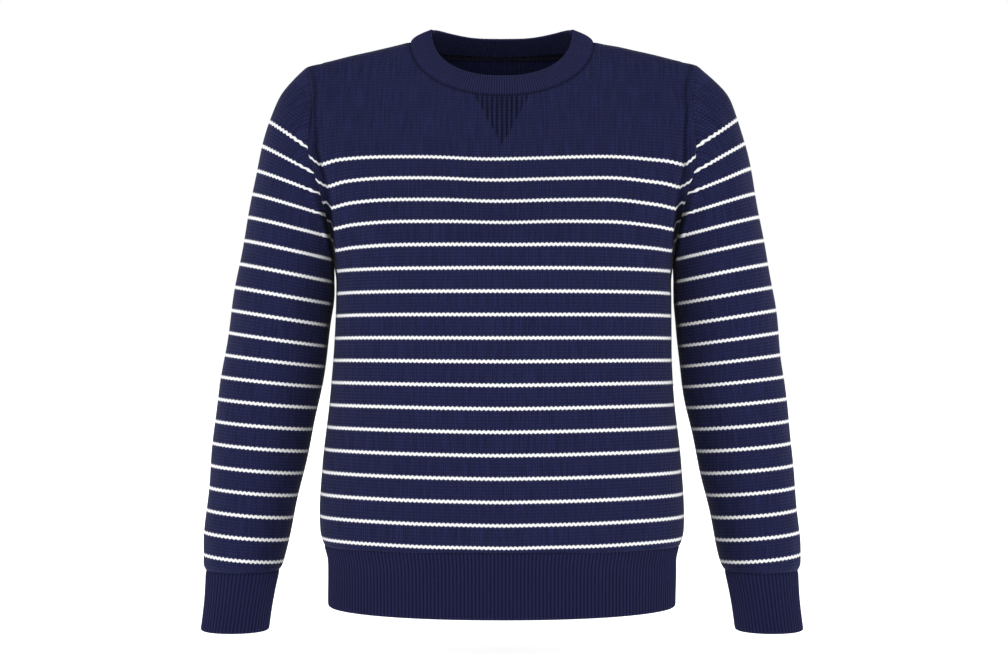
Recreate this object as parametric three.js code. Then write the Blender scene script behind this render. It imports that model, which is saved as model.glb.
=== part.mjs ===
// A striped crew-neck jumper, filled out as if worn, hanging straight from its shoulders.
// Millimetres, +Z up, front towards -Y, +X is the wearer's left. The origin is the middle of the
// line between the two points where the shoulder seams meet the neckband.
// Every piece is a knitted wall: an outer surface, a plain inner one and the edges between them.

import * as THREE from 'three';
import { mergeVertices } from 'three/addons/utils/BufferGeometryUtils.js';

// Cloth
const WALL = 2.5;
const BAND_WALL = 4.5;
const SEAM_GAP = 0.3;
const SEAM_BEVEL = 2;
const BAND_BEVEL = 3;

// Body levels
const SHOULDER_POINT = { x: 228, z: -30 };
const UNDERARM = { x: 196, z: -257 };
const BODY_BOTTOM = -586.5;
const HEM_MIDDLE = -606;
const HEM_BOTTOM = -657;
const HEM_SAG = { front: 4, back: 0 };
const SECTION_POWER = 2.4;

// Neck seam and the neckband's folded upper edge
const NECK_HALF_WIDTH = 107;
const NECK_DROP = { front: 68, back: 11 };
const NECK_POWER = { front: 2.1, back: 2.4 };
const BAND_TOP = { halfWidth: 83.6, height: 14.5, frontDepth: 33, backDepth: 38 };
const BAND_TOP_DROP = { front: 58.5, back: 6.5 };
const BAND_TOP_POWER = 2.3;
const BAND_DROP_POWER = { front: 2.3, back: 1.5 };
const BAND_BULGE = 1.2;
const BAND_CREST = 1.6;

// Ribbing: how many ribs run round each piece and how far they stand out
const NECK_RIBS = 172;
const NECK_RIB_HEIGHT = 0.9;
const HEM_RIBS_PER_HALF = 122;
const HEM_RIB_HEIGHT = 1.2;
const CUFF_RIBS = 58;
const CUFF_RIB_HEIGHT = 1.2;

// V-shaped ribbed insert under the front of the neckband
const INSERT_PITCH = 5.7;
const INSERT_HALF_WIDTH = 6 * INSERT_PITCH;
const INSERT_DEPTH = 62;
const INSERT_RIB_HEIGHT = 1.2;
const INSERT_FADE = { side: 5, top: 3 };

// The shoulder line seen from the front, carried on across the neck as the level that
// the panels' depth is measured from.
const SHOULDER_LINE = [
  { x: 0, z: 25 },
  { x: 60, z: 16 },
  { x: 107, z: 0 },
  { x: 143, z: -9 },
  { x: 176.7, z: -16.5 },
  { x: 228, z: -30 },
];

// How far each panel stands from the side plane, by the drop below the shoulder line
const FRONT_PROFILE = [
  { drop: 0, depth: 0 },
  { drop: 4, depth: 10 },
  { drop: 15, depth: 17.5 },
  { drop: 45, depth: 31 },
  { drop: 93, depth: 50 },
  { drop: 168, depth: 76 },
  { drop: 217, depth: 96 },
  { drop: 262, depth: 112 },
  { drop: 320, depth: 117 },
  { drop: 420, depth: 115 },
  { drop: 560, depth: 114 },
  { drop: 590, depth: 112 },
  { drop: 612, depth: 107 },
  { drop: 690, depth: 105 },
];
const BACK_PROFILE = [
  { drop: 0, depth: 0 },
  { drop: 4, depth: 11 },
  { drop: 15, depth: 26 },
  { drop: 36, depth: 47 },
  { drop: 80, depth: 63 },
  { drop: 150, depth: 80 },
  { drop: 230, depth: 93 },
  { drop: 330, depth: 99 },
  { drop: 430, depth: 98 },
  { drop: 560, depth: 105 },
  { drop: 590, depth: 105 },
  { drop: 612, depth: 102 },
  { drop: 690, depth: 101 },
];

// Half-width of the body at the side seam, and at the armhole seam above the underarm
const SIDE_SEAM = [
  { z: -657, x: 203 },
  { z: -606, x: 203.2 },
  { z: -587, x: 207.5 },
  { z: -569, x: 211.8 },
  { z: -550, x: 212.4 },
  { z: -494, x: 209.4 },
  { z: -419, x: 201 },
  { z: -355, x: 195.4 },
  { z: -308, x: 193.4 },
  { z: -283, x: 193.2 },
  { z: -257, x: 196 },
  { z: -232, x: 197 },
  { z: -206, x: 201.5 },
  { z: -182, x: 207.5 },
  { z: -156, x: 215.5 },
  { z: -127, x: 222.5 },
  { z: -100, x: 221 },
  { z: -75, x: 219.5 },
  { z: -30, x: 228 },
];
const ARMHOLE_SHAPE = { dropPower: 2.4, widthPower: 2, mostShare: 0.985 };

// The crease that runs down each side of the front beside the armhole seam
const CREASE = { fromZ: -92, toZ: -262, deepestZ: -150, depth: 6, width: 6.5 };
const CREASE_INSET = [
  { z: -262, inset: 3.5 },
  { z: -245, inset: 4.4 },
  { z: -220, inset: 5.5 },
  { z: -195, inset: 8 },
  { z: -169, inset: 10.5 },
  { z: -139, inset: 10 },
  { z: -92, inset: 5 },
];

// Sleeve sections: the outer and inner points of each seen from the front, and its half-depth
const SLEEVE_SECTIONS = [
  { outerX: 228, outerZ: -30, innerX: 196, innerZ: -257, halfDepth: 56 },
  { outerX: 244.5, outerZ: -44.5, innerX: 196.1, innerZ: -260, halfDepth: 57 },
  { outerX: 259.7, outerZ: -63, innerX: 196.1, innerZ: -263, halfDepth: 58 },
  { outerX: 271, outerZ: -91, innerX: 196, innerZ: -268, halfDepth: 58.5 },
  { outerX: 280.5, outerZ: -124, innerX: 195.9, innerZ: -276, halfDepth: 58.5 },
  { outerX: 288, outerZ: -160, innerX: 195.9, innerZ: -287, halfDepth: 58 },
  { outerX: 296, outerZ: -203, innerX: 196.6, innerZ: -303, halfDepth: 57 },
  { outerX: 305.5, outerZ: -254, innerX: 199.4, innerZ: -330, halfDepth: 55.5 },
  { outerX: 314.5, outerZ: -303, innerX: 204.4, innerZ: -366, halfDepth: 54 },
  { outerX: 323, outerZ: -361, innerX: 211.6, innerZ: -408, halfDepth: 52 },
  { outerX: 331.5, outerZ: -413, innerX: 221.2, innerZ: -452, halfDepth: 50 },
  { outerX: 338, outerZ: -470, innerX: 231, innerZ: -500, halfDepth: 48 },
  { outerX: 343, outerZ: -526, innerX: 241.8, innerZ: -546, halfDepth: 46 },
  { outerX: 348.6, outerZ: -584, innerX: 251, innerZ: -590, halfDepth: 44 },
  { outerX: 349, outerZ: -607, innerX: 255.5, innerZ: -608, halfDepth: 43 },
  { outerX: 346.4, outerZ: -617.5, innerX: 260, innerZ: -617.5, halfDepth: 40 },
];
const SEAM_SHAPE_REACH = 0.35;
const CUFF_BOTTOM = { outerX: 352.4, innerX: 272.4, z: -686.5, halfDepth: 38 };

// Soft folds of the sleeves: where along the sleeve (0 at the armhole, 1 at the cuff), where
// round it (degrees from the outer edge, the front counted first), and their size. Each fold
// slants by a share of the sleeve's length for each spread round it.
const SLEEVE_FOLDS = [
  { along: 0.3, around: 118, depth: 3.2, length: 0.05, spread: 34 },
  { along: 0.42, around: 140, depth: 2.6, length: 0.04, spread: 30 },
  { along: 0.62, around: 62, depth: 1.8, length: 0.05, spread: 30 },
  { along: 0.34, around: 236, depth: 3, length: 0.05, spread: 34 },
  { along: 0.5, around: 222, depth: 2.4, length: 0.045, spread: 30 },
  { along: 0.7, around: 290, depth: 1.8, length: 0.05, spread: 32 },
];
const SLEEVE_FOLD_SLANT = 0.03;

// Fineness of the walls
const LOW_ROWS = 8;
const ARMHOLE_ROWS = 12;
const NECK_COLUMNS = 6;
const SHOULDER_COLUMNS = 5;
const HEM_INNER_COLUMNS = 36;
const CUFF_INNER_COLUMNS = 24;
const BAND_INNER_COLUMNS = 64;
const CURVE_SAMPLES = 600;
const WELD_DISTANCE = 1e-4;
const SAME_PLACE = 1e-9;

const NAVY = 0x25264a;
const NAVY_RIB = 0x1f203f;

// Smooth curve through a table's rows, without overshoot
function tableCurve(table, input, output, at) {
  const rows = [...table].sort((a, b) => a[input] - b[input]);
  const last = rows.length - 1;
  if (at <= rows[0][input]) return rows[0][output];
  if (at >= rows[last][input]) return rows[last][output];
  const slopes = rows.slice(1).map((row, i) => {
    const rise = row[output] - rows[i][output];
    return rise / (row[input] - rows[i][input]);
  });
  const tangent = (i) => {
    if (i === 0) return slopes[0];
    if (i === last) return slopes[last - 1];
    if (slopes[i - 1] * slopes[i] <= 0) return 0;
    return (2 * slopes[i - 1] * slopes[i]) / (slopes[i - 1] + slopes[i]);
  };
  const i = rows.findIndex((row, k) => k < last && at < rows[k + 1][input]);
  const width = rows[i + 1][input] - rows[i][input];
  const s = (at - rows[i][input]) / width;
  const start = rows[i][output];
  const end = rows[i + 1][output];
  return (
    start * (1 + 2 * s) * (1 - s) ** 2 +
    end * s * s * (3 - 2 * s) +
    width * (tangent(i) * s * (1 - s) ** 2 - tangent(i + 1) * s * s * (1 - s))
  );
}

const lerp = THREE.MathUtils.lerp;
const clamp = THREE.MathUtils.clamp;
const bump = (distance, width) => Math.exp(-((distance / width) ** 2));
const superCos = (angle, power) => Math.abs(Math.cos(angle)) ** (2 / power) * Math.sign(Math.cos(angle));
const superSin = (angle, power) => Math.abs(Math.sin(angle)) ** (2 / power) * Math.sign(Math.sin(angle));

const shoulderLine = (x) => tableCurve(SHOULDER_LINE, 'x', 'z', Math.abs(x));
const sideSeam = (z) => tableCurve(SIDE_SEAM, 'z', 'x', z);

const FRONT = {
  side: -1,
  profile: FRONT_PROFILE,
  neckDrop: NECK_DROP.front,
  neckPower: NECK_POWER.front,
  hemSag: HEM_SAG.front,
};
const BACK = {
  side: 1,
  profile: BACK_PROFILE,
  neckDrop: NECK_DROP.back,
  neckPower: NECK_POWER.back,
  hemSag: HEM_SAG.back,
};

// Share of a panel's depth that is left at its seam: none at the side seam, all at the shoulder
function seamShare(z) {
  if (z <= UNDERARM.z) return 0;
  const fall = clamp((SHOULDER_POINT.z - z) / (SHOULDER_POINT.z - UNDERARM.z), 0, 1);
  const share = (1 - fall ** ARMHOLE_SHAPE.dropPower) ** (1 / ARMHOLE_SHAPE.widthPower);
  return Math.min(ARMHOLE_SHAPE.mostShare, share);
}

// Half-width of the whole oval section that a panel's row is a part of
function sectionReach(z) {
  const cut = (1 - seamShare(z) ** SECTION_POWER) ** (1 / SECTION_POWER);
  return sideSeam(z) / cut;
}

// Inward groove of the front beside the armhole seam
function crease(x, z) {
  const room = clamp((z - CREASE.toZ) / (CREASE.deepestZ - CREASE.toZ), 0, 1);
  const end = clamp((CREASE.fromZ - z) / (CREASE.fromZ - CREASE.deepestZ), 0, 1);
  const inset = sideSeam(z) - Math.abs(x) - tableCurve(CREASE_INSET, 'z', 'inset', z);
  return CREASE.depth * Math.sin((Math.PI / 2) * Math.min(room, end)) * bump(inset, CREASE.width);
}

// Depth of a panel at a point seen from the front
function panelDepth(face, x, z) {
  const full = tableCurve(face.profile, 'drop', 'depth', Math.max(0, shoulderLine(x) - z));
  const share = Math.max(0, 1 - (Math.abs(x) / sectionReach(z)) ** SECTION_POWER) ** (1 / SECTION_POWER);
  const depth = full * share;
  return face.side * (face === FRONT ? depth - Math.min(depth, crease(x, z)) : depth);
}

// Top outline of a panel: along the neck seam, then along the shoulder seam. The column
// position runs from 0 at the middle to 1 at the shoulder point.
const NECK_SHARE = NECK_COLUMNS / (NECK_COLUMNS + SHOULDER_COLUMNS);
function topOutline(face, column) {
  if (column <= NECK_SHARE) {
    const angle = (column / NECK_SHARE) * (Math.PI / 2);
    const x = NECK_HALF_WIDTH * superSin(angle, face.neckPower);
    return { x, z: -face.neckDrop * superCos(angle, face.neckPower) };
  }
  const x = lerp(NECK_HALF_WIDTH, SHOULDER_POINT.x, (column - NECK_SHARE) / (1 - NECK_SHARE));
  return { x, z: shoulderLine(x) };
}

// Level along the armhole seam: 0 at the underarm, 1 at the shoulder point
function armholeLevel(climb) {
  return lerp(UNDERARM.z, SHOULDER_POINT.z, (1 - Math.cos(Math.PI * climb)) / 2);
}

// Columns stay upright in the middle of a panel and crowd towards its rounded sides, and
// above the underarm they turn towards the places of their ends on the top outline
const UPRIGHT_SHARE = 0.2;
const TURN_POWER = 1.5;
function sideCrowded(spread) {
  return spread + (Math.max(0, spread - UPRIGHT_SHARE) * (1 - spread)) / (1 - UPRIGHT_SHARE);
}

// Point of a panel. column runs from -1 to 1 across it, row from 0 at the bottom edge through
// LOW_ROWS at the underarm to LOW_ROWS + ARMHOLE_ROWS at the top outline.
function panelPoint(face, column, row) {
  const across = Math.abs(column);
  const climb = Math.max(0, (row - LOW_ROWS) / ARMHOLE_ROWS);
  const edgeZ = climb > 0 ? armholeLevel(climb) : lerp(BODY_BOTTOM, UNDERARM.z, row / LOW_ROWS);
  const top = topOutline(face, across);
  const rise = (edgeZ - UNDERARM.z) / (SHOULDER_POINT.z - UNDERARM.z);
  const z = climb > 0 ? lerp(UNDERARM.z, top.z, rise) : edgeZ;
  const topSpread = top.x / SHOULDER_POINT.x;
  const spread = lerp(sideCrowded(topSpread), topSpread, climb ** TURN_POWER);
  const x = Math.sign(column) * sideSeam(edgeZ) * spread;
  return new THREE.Vector3(x, panelDepth(face, x, z), z);
}

// How deep the valleys between the insert's ribs are, below a column's place at the neck seam
function insertValley(columnX, below) {
  const reach = INSERT_HALF_WIDTH * (1 - below / INSERT_DEPTH);
  const sideFade = clamp((reach - Math.abs(columnX)) / INSERT_FADE.side, 0, 1);
  const topFade = clamp(below / INSERT_FADE.top, 0, 1);
  const wave = 0.5 + 0.5 * Math.cos((2 * Math.PI * columnX) / INSERT_PITCH);
  return INSERT_RIB_HEIGHT * sideFade * topFade * wave;
}

// Outward normals of a grid of points; grids run so that column x row points outwards
function gridNormals(grid, closed) {
  const columns = grid[0].length;
  return grid.map((row, r) =>
    row.map((_, c) => {
      const before = closed ? (c + columns - 1) % columns : Math.max(c - 1, 0);
      const after = closed ? (c + 1) % columns : Math.min(c + 1, columns - 1);
      const across = row[after].clone().sub(row[before]);
      const up = grid[Math.min(r + 1, grid.length - 1)][c].clone().sub(grid[Math.max(r - 1, 0)][c]);
      return across.cross(up).normalize();
    })
  );
}

// The inner surface of a wall. flatten(normal, r, c) may turn a normal into its seam's plane.
function insetGrid(grid, thickness, closed, flatten = () => {}) {
  const normals = gridNormals(grid, closed);
  return grid.map((row, r) =>
    row.map((point, c) => {
      const normal = normals[r][c];
      flatten(normal, r, c);
      return point.clone().addScaledVector(normal.normalize(), -thickness);
    })
  );
}

// Pull the inner surface's edge back from a seam, so that two walls can meet there at an angle
function bevelEdge(edge, next, amount) {
  edge.forEach((point, i) => {
    point.addScaledVector(next[i].clone().sub(point).normalize(), amount);
  });
}

// Triangles between two edges of different fineness. Positions run from 0 to 1 along each.
function ribbon(first, second, firstAt, secondAt, turned, triangles) {
  let i = 0;
  let j = 0;
  const add = (a, b, c) => triangles.push(turned ? [a, c, b] : [a, b, c]);
  while (i < first.length - 1 || j < second.length - 1) {
    const secondDone = j === second.length - 1;
    const firstIsNext = i < first.length - 1 && firstAt[i + 1] <= secondAt[j + 1];
    if (secondDone || firstIsNext) {
      add(first[i], first[i + 1], second[j]);
      i += 1;
    } else {
      add(first[i], second[j + 1], second[j]);
      j += 1;
    }
  }
}

const evenPositions = (count) => Array.from({ length: count }, (_, i) => i / (count - 1));
const ringClosed = (row, closed) => (closed ? [...row, row[0]] : row);

// A closed body from an outer and an inner grid with the same number of rows at their edges
function wallGeometry({ outer, inner, closed = false, outerAt, innerAt }) {
  const triangles = [];
  const addGrid = (grid, turned) => {
    for (let r = 0; r < grid.length - 1; r += 1) {
      const low = ringClosed(grid[r], closed);
      const high = ringClosed(grid[r + 1], closed);
      const at = evenPositions(low.length);
      ribbon(high, low, at, at, !turned, triangles);
    }
  };
  addGrid(outer, false);
  addGrid(inner, true);
  const top = [outer.at(-1), inner.at(-1)].map((row) => ringClosed(row, closed));
  const bottom = [outer[0], inner[0]].map((row) => ringClosed(row, closed));
  const outerSteps = outerAt ?? evenPositions(top[0].length);
  const innerSteps = innerAt ?? evenPositions(top[1].length);
  ribbon(top[0], top[1], outerSteps, innerSteps, false, triangles);
  ribbon(bottom[0], bottom[1], outerSteps, innerSteps, true, triangles);
  if (!closed) {
    const column = (grid, c) => grid.map((row) => row.at(c));
    const outerRows = evenPositions(outer.length);
    const innerRows = evenPositions(inner.length);
    ribbon(column(outer, 0), column(inner, 0), outerRows, innerRows, false, triangles);
    ribbon(column(outer, -1), column(inner, -1), outerRows, innerRows, true, triangles);
  }
  const positions = new Float32Array(triangles.flat().flatMap((point) => point.toArray()));
  const geometry = new THREE.BufferGeometry();
  geometry.setAttribute('position', new THREE.BufferAttribute(positions, 3));
  return mergeVertices(geometry, WELD_DISTANCE);
}

function knit(color) {
  return new THREE.MeshStandardMaterial({ color, roughness: 0.95, metalness: 0 });
}

function namedMesh(name, geometry, color) {
  const mesh = new THREE.Mesh(geometry, knit(color));
  mesh.name = name;
  mesh.geometry.computeVertexNormals();
  return mesh;
}

// Column positions from the middle of a panel to its side: plain ones, or with two for each
// rib of the insert
function halfColumns(withInsert) {
  const neck = Array.from({ length: NECK_COLUMNS }, (_, i) => ((i + 1) / NECK_COLUMNS) * NECK_SHARE);
  const shoulder = Array.from({ length: SHOULDER_COLUMNS }, (_, i) =>
    lerp(NECK_SHARE, 1, (i + 1) / SHOULDER_COLUMNS)
  );
  const creaseColumn = (shoulder.at(-2) + 1) / 2;
  shoulder.splice(-1, 0, creaseColumn);
  if (!withInsert) return [...neck, ...shoulder];
  const steps = Math.round((2 * INSERT_HALF_WIDTH) / INSERT_PITCH);
  const fine = Array.from({ length: steps }, (_, i) => {
    const x = ((i + 1) * INSERT_PITCH) / 2;
    const angle = Math.asin((x / NECK_HALF_WIDTH) ** (NECK_POWER.front / 2));
    return (NECK_SHARE * angle) / (Math.PI / 2);
  });
  return [...fine, ...neck.filter((column) => column > fine.at(-1)), ...shoulder];
}

function panelColumns(withInsert) {
  const half = halfColumns(withInsert);
  return [...half.map((column) => -column).reverse(), 0, ...half];
}

// Front or back panel, from the ribbed hem to the shoulder and neck seams
function bodyPanel(name, face) {
  const rows = Array.from({ length: LOW_ROWS + ARMHOLE_ROWS + 1 }, (_, row) => row);
  const plainColumns = panelColumns(false);
  const fineColumns = panelColumns(face === FRONT);
  const direction = -face.side;
  const sample = (columns) =>
    rows.map((row) => columns.map((column) => panelPoint(face, direction * column, row)));
  const shiftFromSeam = (point) => {
    point.y += Math.abs(point.y) < SEAM_GAP ? (face.side * SEAM_GAP) / 2 : 0;
  };
  const outer = sample(fineColumns);
  const plain = sample(plainColumns);
  [...outer.flat(), ...plain.flat()].forEach(shiftFromSeam);
  if (face === FRONT) {
    outer.flat().forEach((point, i) => {
      const column = Math.abs(fineColumns[i % fineColumns.length]);
      if (column > NECK_SHARE) return;
      const top = topOutline(FRONT, column);
      point.y += insertValley(top.x, top.z - point.z);
    });
  }

  const lastRow = rows.length - 1;
  const lastColumn = plainColumns.length - 1;
  const onSeamPlane = (r, c) => {
    const sideEdge = (c === 0 || c === lastColumn) && (r <= LOW_ROWS || r === lastRow);
    const shoulderEdge = r === lastRow && Math.abs(plainColumns[c]) >= NECK_SHARE;
    return sideEdge || shoulderEdge;
  };
  const inner = insetGrid(plain, WALL, false, (normal, r, c) => {
    if (onSeamPlane(r, c)) normal.y = 0;
    if (r === 0) normal.z = 0;
  });
  bevelEdge(inner[lastRow], inner[lastRow - 1], SEAM_BEVEL);
  const column = (c) => inner.map((row) => row[c]);
  bevelEdge(column(0), column(1), SEAM_BEVEL);
  bevelEdge(column(lastColumn), column(lastColumn - 1), SEAM_BEVEL);

  const positions = (columns) => columns.map((value) => (value + 1) / 2);
  const geometry = wallGeometry({
    outer,
    inner,
    outerAt: positions(fineColumns),
    innerAt: positions(plainColumns),
  });
  return namedMesh(name, geometry, NAVY);
}

// Seam of an armhole on the +X side, from the underarm up the front and down the back
function armholeLoop() {
  const level = (climb, face) => {
    const z = armholeLevel(climb);
    const x = sideSeam(z);
    return new THREE.Vector3(x, panelDepth(face, x, z), z);
  };
  const steps = Array.from({ length: ARMHOLE_ROWS }, (_, i) => i / ARMHOLE_ROWS);
  const frontUp = steps.map((climb) => level(climb, FRONT));
  const backDown = steps.map((climb) => level(1 - climb, BACK));
  return [...frontUp, ...backDown];
}

// Ring of a sleeve section. Round the ring, 180 degrees is the underarm and 0 the outer edge.
function sectionRing(section, columns) {
  const outer = new THREE.Vector3(section.outerX, 0, section.outerZ);
  const inner = new THREE.Vector3(section.innerX, 0, section.innerZ);
  const middle = outer.clone().add(inner).multiplyScalar(0.5);
  const half = outer.clone().sub(inner).multiplyScalar(0.5);
  return Array.from({ length: columns }, (_, k) => {
    const angle = Math.PI * (1 - (2 * k) / columns);
    const point = middle.clone().addScaledVector(half, Math.cos(angle));
    point.y = -section.halfDepth * Math.sin(angle);
    return point;
  });
}

function sleeveFold(along, around) {
  return SLEEVE_FOLDS.reduce((sum, fold) => {
    const tilt = (around - fold.around) / fold.spread;
    const centre = fold.along + SLEEVE_FOLD_SLANT * tilt;
    return sum + fold.depth * bump(along - centre, fold.length) * bump(tilt, 1);
  }, 0);
}

function mirrorRows(rows) {
  return rows.map((row) => row.map((point) => point.clone().setX(-point.x)).reverse());
}

// Sleeve from the armhole seam to the cuff
function sleeveRows() {
  const loop = armholeLoop();
  const columns = loop.length;
  const ellipse = sectionRing(SLEEVE_SECTIONS[0], columns);
  const offSection = loop.map((point, k) => point.clone().sub(ellipse[k]));
  const last = SLEEVE_SECTIONS.length - 1;
  const rows = SLEEVE_SECTIONS.map((section, r) => {
    const along = r / last;
    const keep = Math.max(0, 1 - along / SEAM_SHAPE_REACH) ** 2;
    const ring = sectionRing(section, columns);
    const middle = ring.reduce((sum, point) => sum.add(point), new THREE.Vector3()).divideScalar(columns);
    return ring.map((point, k) => {
      const around = (180 + (360 * k) / columns) % 360;
      const inward = middle.clone().sub(point).normalize();
      point.addScaledVector(offSection[k], keep);
      return point.addScaledVector(inward, sleeveFold(along, 360 - around));
    });
  });
  rows[0].forEach((point) => {
    point.x += SEAM_GAP;
  });
  return rows;
}

function sleeve(name, rightSide) {
  const rows = sleeveRows();
  const outer = (rightSide ? mirrorRows(rows) : rows).map((row) => [...row].reverse());
  const last = outer.length - 1;
  const inner = insetGrid(outer, WALL, true, (normal, r) => {
    if (r === last) normal.z = 0;
  });
  bevelEdge(inner[0], inner[1], SEAM_BEVEL);
  return namedMesh(name, wallGeometry({ outer, inner, closed: true }), NAVY);
}

// Parameter values that divide a curve into equal lengths
function evenlyAlong(curve, from, to, count) {
  const samples = CURVE_SAMPLES;
  const at = (i) => lerp(from, to, i / samples);
  const lengths = [0];
  for (let i = 1; i <= samples; i += 1) {
    lengths.push(lengths[i - 1] + curve(at(i)).distanceTo(curve(at(i - 1))));
  }
  let i = 0;
  return Array.from({ length: count + 1 }, (_, k) => {
    const wanted = (lengths[samples] * k) / count;
    while (i < samples - 1 && lengths[i + 1] < wanted) i += 1;
    return at(i + (wanted - lengths[i]) / (lengths[i + 1] - lengths[i]));
  });
}

// Two columns make a rib: a ridge and a valley pressed in by the rib's height
function pressRibs(rows, height, closed) {
  const normals = gridNormals(rows, closed);
  rows.forEach((row, r) => {
    row.forEach((point, c) => {
      if (c % 2 === 1) point.addScaledVector(normals[r][c], -height);
    });
  });
}

// Half of the ribbed hem, from one side seam to the other
function hemHalf(name, face) {
  const levels = [HEM_BOTTOM, HEM_MIDDLE, BODY_BOTTOM - SEAM_GAP];
  const point = (angle, z) => {
    const x = -face.side * sideSeam(z) * superSin(angle, SECTION_POWER);
    const y = panelDepth(face, x, z);
    const drop = z === HEM_BOTTOM ? face.hemSag * (1 - (x / sideSeam(z)) ** 2) : 0;
    return new THREE.Vector3(x, Math.abs(y) < SEAM_GAP ? (face.side * SEAM_GAP) / 2 : y, z - drop);
  };
  const bottomEdge = (angle) => point(angle, HEM_BOTTOM);
  const angles = (count) => evenlyAlong(bottomEdge, -Math.PI / 2, Math.PI / 2, count);
  const ribAngles = angles(2 * HEM_RIBS_PER_HALF);
  const plainAngles = angles(HEM_INNER_COLUMNS);
  const outer = levels.map((z) => ribAngles.map((angle) => point(angle, z)));
  pressRibs(outer, HEM_RIB_HEIGHT, false);
  const plain = [levels[0], levels[2]].map((z) => plainAngles.map((angle) => point(angle, z)));
  const inner = insetGrid(plain, WALL + HEM_RIB_HEIGHT, false, (normal, r, c) => {
    normal.z = 0;
    if (c === 0 || c === HEM_INNER_COLUMNS) normal.y = 0;
  });
  return namedMesh(name, wallGeometry({ outer, inner }), NAVY_RIB);
}

// Ribbed cuff below a sleeve
function cuff(name, rightSide) {
  const seam = SLEEVE_SECTIONS.at(-1);
  const top = { ...seam, outerZ: seam.outerZ - SEAM_GAP, innerZ: seam.innerZ - SEAM_GAP };
  const bottom = { ...CUFF_BOTTOM, outerZ: CUFF_BOTTOM.z, innerZ: CUFF_BOTTOM.z };
  const rings = (columns) => {
    const rows = [bottom, top].map((section) => sectionRing(section, columns));
    return rightSide ? mirrorRows(rows) : rows;
  };
  const outer = rings(2 * CUFF_RIBS);
  const inner = insetGrid(rings(CUFF_INNER_COLUMNS), WALL + CUFF_RIB_HEIGHT, true, (normal) => {
    normal.z = 0;
  });
  pressRibs(outer, CUFF_RIB_HEIGHT, true);
  return namedMesh(name, wallGeometry({ outer, inner, closed: true }), NAVY_RIB);
}

// Neck seam all round: 0 is the middle of the front, a quarter turn the wearer's left shoulder
function neckSeam(angle) {
  const face = Math.cos(angle) > 0 ? FRONT : BACK;
  const x = NECK_HALF_WIDTH * superSin(angle, face.neckPower);
  const z = -face.neckDrop * Math.abs(superCos(angle, face.neckPower));
  return new THREE.Vector3(x, panelDepth(face, x, z), z);
}

function bandTopEdge(angle) {
  const inFront = Math.cos(angle) > 0;
  const toMiddle = Math.abs(superCos(angle, BAND_TOP_POWER));
  const aside = Math.abs(superSin(angle, BAND_TOP_POWER));
  const x = BAND_TOP.halfWidth * superSin(angle, BAND_TOP_POWER);
  const y = inFront ? -BAND_TOP.frontDepth * toMiddle : BAND_TOP.backDepth * toMiddle;
  const face = inFront ? 'front' : 'back';
  const power = BAND_DROP_POWER[face];
  const drop = BAND_TOP_DROP[face] * Math.max(0, 1 - aside ** power) ** (1 / power);
  return new THREE.Vector3(x, y, BAND_TOP.height - drop);
}

// The same seam as the straight stretches between the panels' columns
function neckSeamStretches(angle) {
  const face = Math.cos(angle) > 0 ? FRONT : BACK;
  const fromMiddle = Math.asin(Math.min(1, Math.abs(Math.sin(angle))));
  const corners = [0, ...halfColumns(face === FRONT)]
    .filter((column) => column <= NECK_SHARE + SAME_PLACE)
    .map((column) => (column / NECK_SHARE) * (Math.PI / 2));
  const next = Math.max(1, corners.findIndex((corner) => corner >= fromMiddle - SAME_PLACE));
  const share = (fromMiddle - corners[next - 1]) / (corners[next] - corners[next - 1]);
  const sign = Math.sign(Math.sin(angle)) || 1;
  const seamAt = (corner) => neckSeam(sign * (face === FRONT ? corner : Math.PI - corner));
  return seamAt(corners[next - 1]).lerp(seamAt(corners[next]), share);
}

// Neckband, folded double, leaning in from the neck seam
function neckband(name) {
  const middle = (angle) => neckSeam(angle).add(bandTopEdge(angle)).multiplyScalar(0.5);
  const rowsAt = (count) => {
    const angles = evenlyAlong(middle, 0, 2 * Math.PI, count).slice(0, -1);
    const seam = angles.map(neckSeamStretches);
    const fold = angles.map((angle) => bandTopEdge(angle));
    seam.forEach((point, i) => point.addScaledVector(fold[i].clone().sub(point).normalize(), SEAM_GAP));
    const rows = [seam, angles.map(middle), fold];
    const normals = gridNormals(rows, true);
    rows[1].forEach((point, i) => point.addScaledVector(normals[1][i], BAND_BULGE));
    return { rows, normals };
  };

  const ribbed = rowsAt(2 * NECK_RIBS);
  const crest = ribbed.rows[2].map((point, i) => {
    const rise = point.clone().sub(ribbed.rows[1][i]).normalize();
    return point
      .clone()
      .addScaledVector(ribbed.normals[2][i], -BAND_WALL / 2)
      .addScaledVector(rise, BAND_CREST);
  });
  pressRibs(ribbed.rows, NECK_RIB_HEIGHT, true);
  const outer = [...ribbed.rows, crest];

  const plain = rowsAt(BAND_INNER_COLUMNS);
  const inset = (r) =>
    plain.rows[r].map((point, i) => point.clone().addScaledVector(plain.normals[r][i], -BAND_WALL));
  const inner = [inset(0), inset(2)];
  bevelEdge(inner[0], inner[1], BAND_BEVEL);
  return namedMesh(name, wallGeometry({ outer, inner, closed: true }), NAVY_RIB);
}

const jumper = new THREE.Group();
jumper.add(
  bodyPanel('front', FRONT),
  bodyPanel('back', BACK),
  sleeve('sleeve_left', false),
  sleeve('sleeve_right', true),
  neckband('neckband'),
  hemHalf('hem_front', FRONT),
  hemHalf('hem_back', BACK),
  cuff('cuff_left', false),
  cuff('cuff_right', true)
);

export default jumper;
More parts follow.
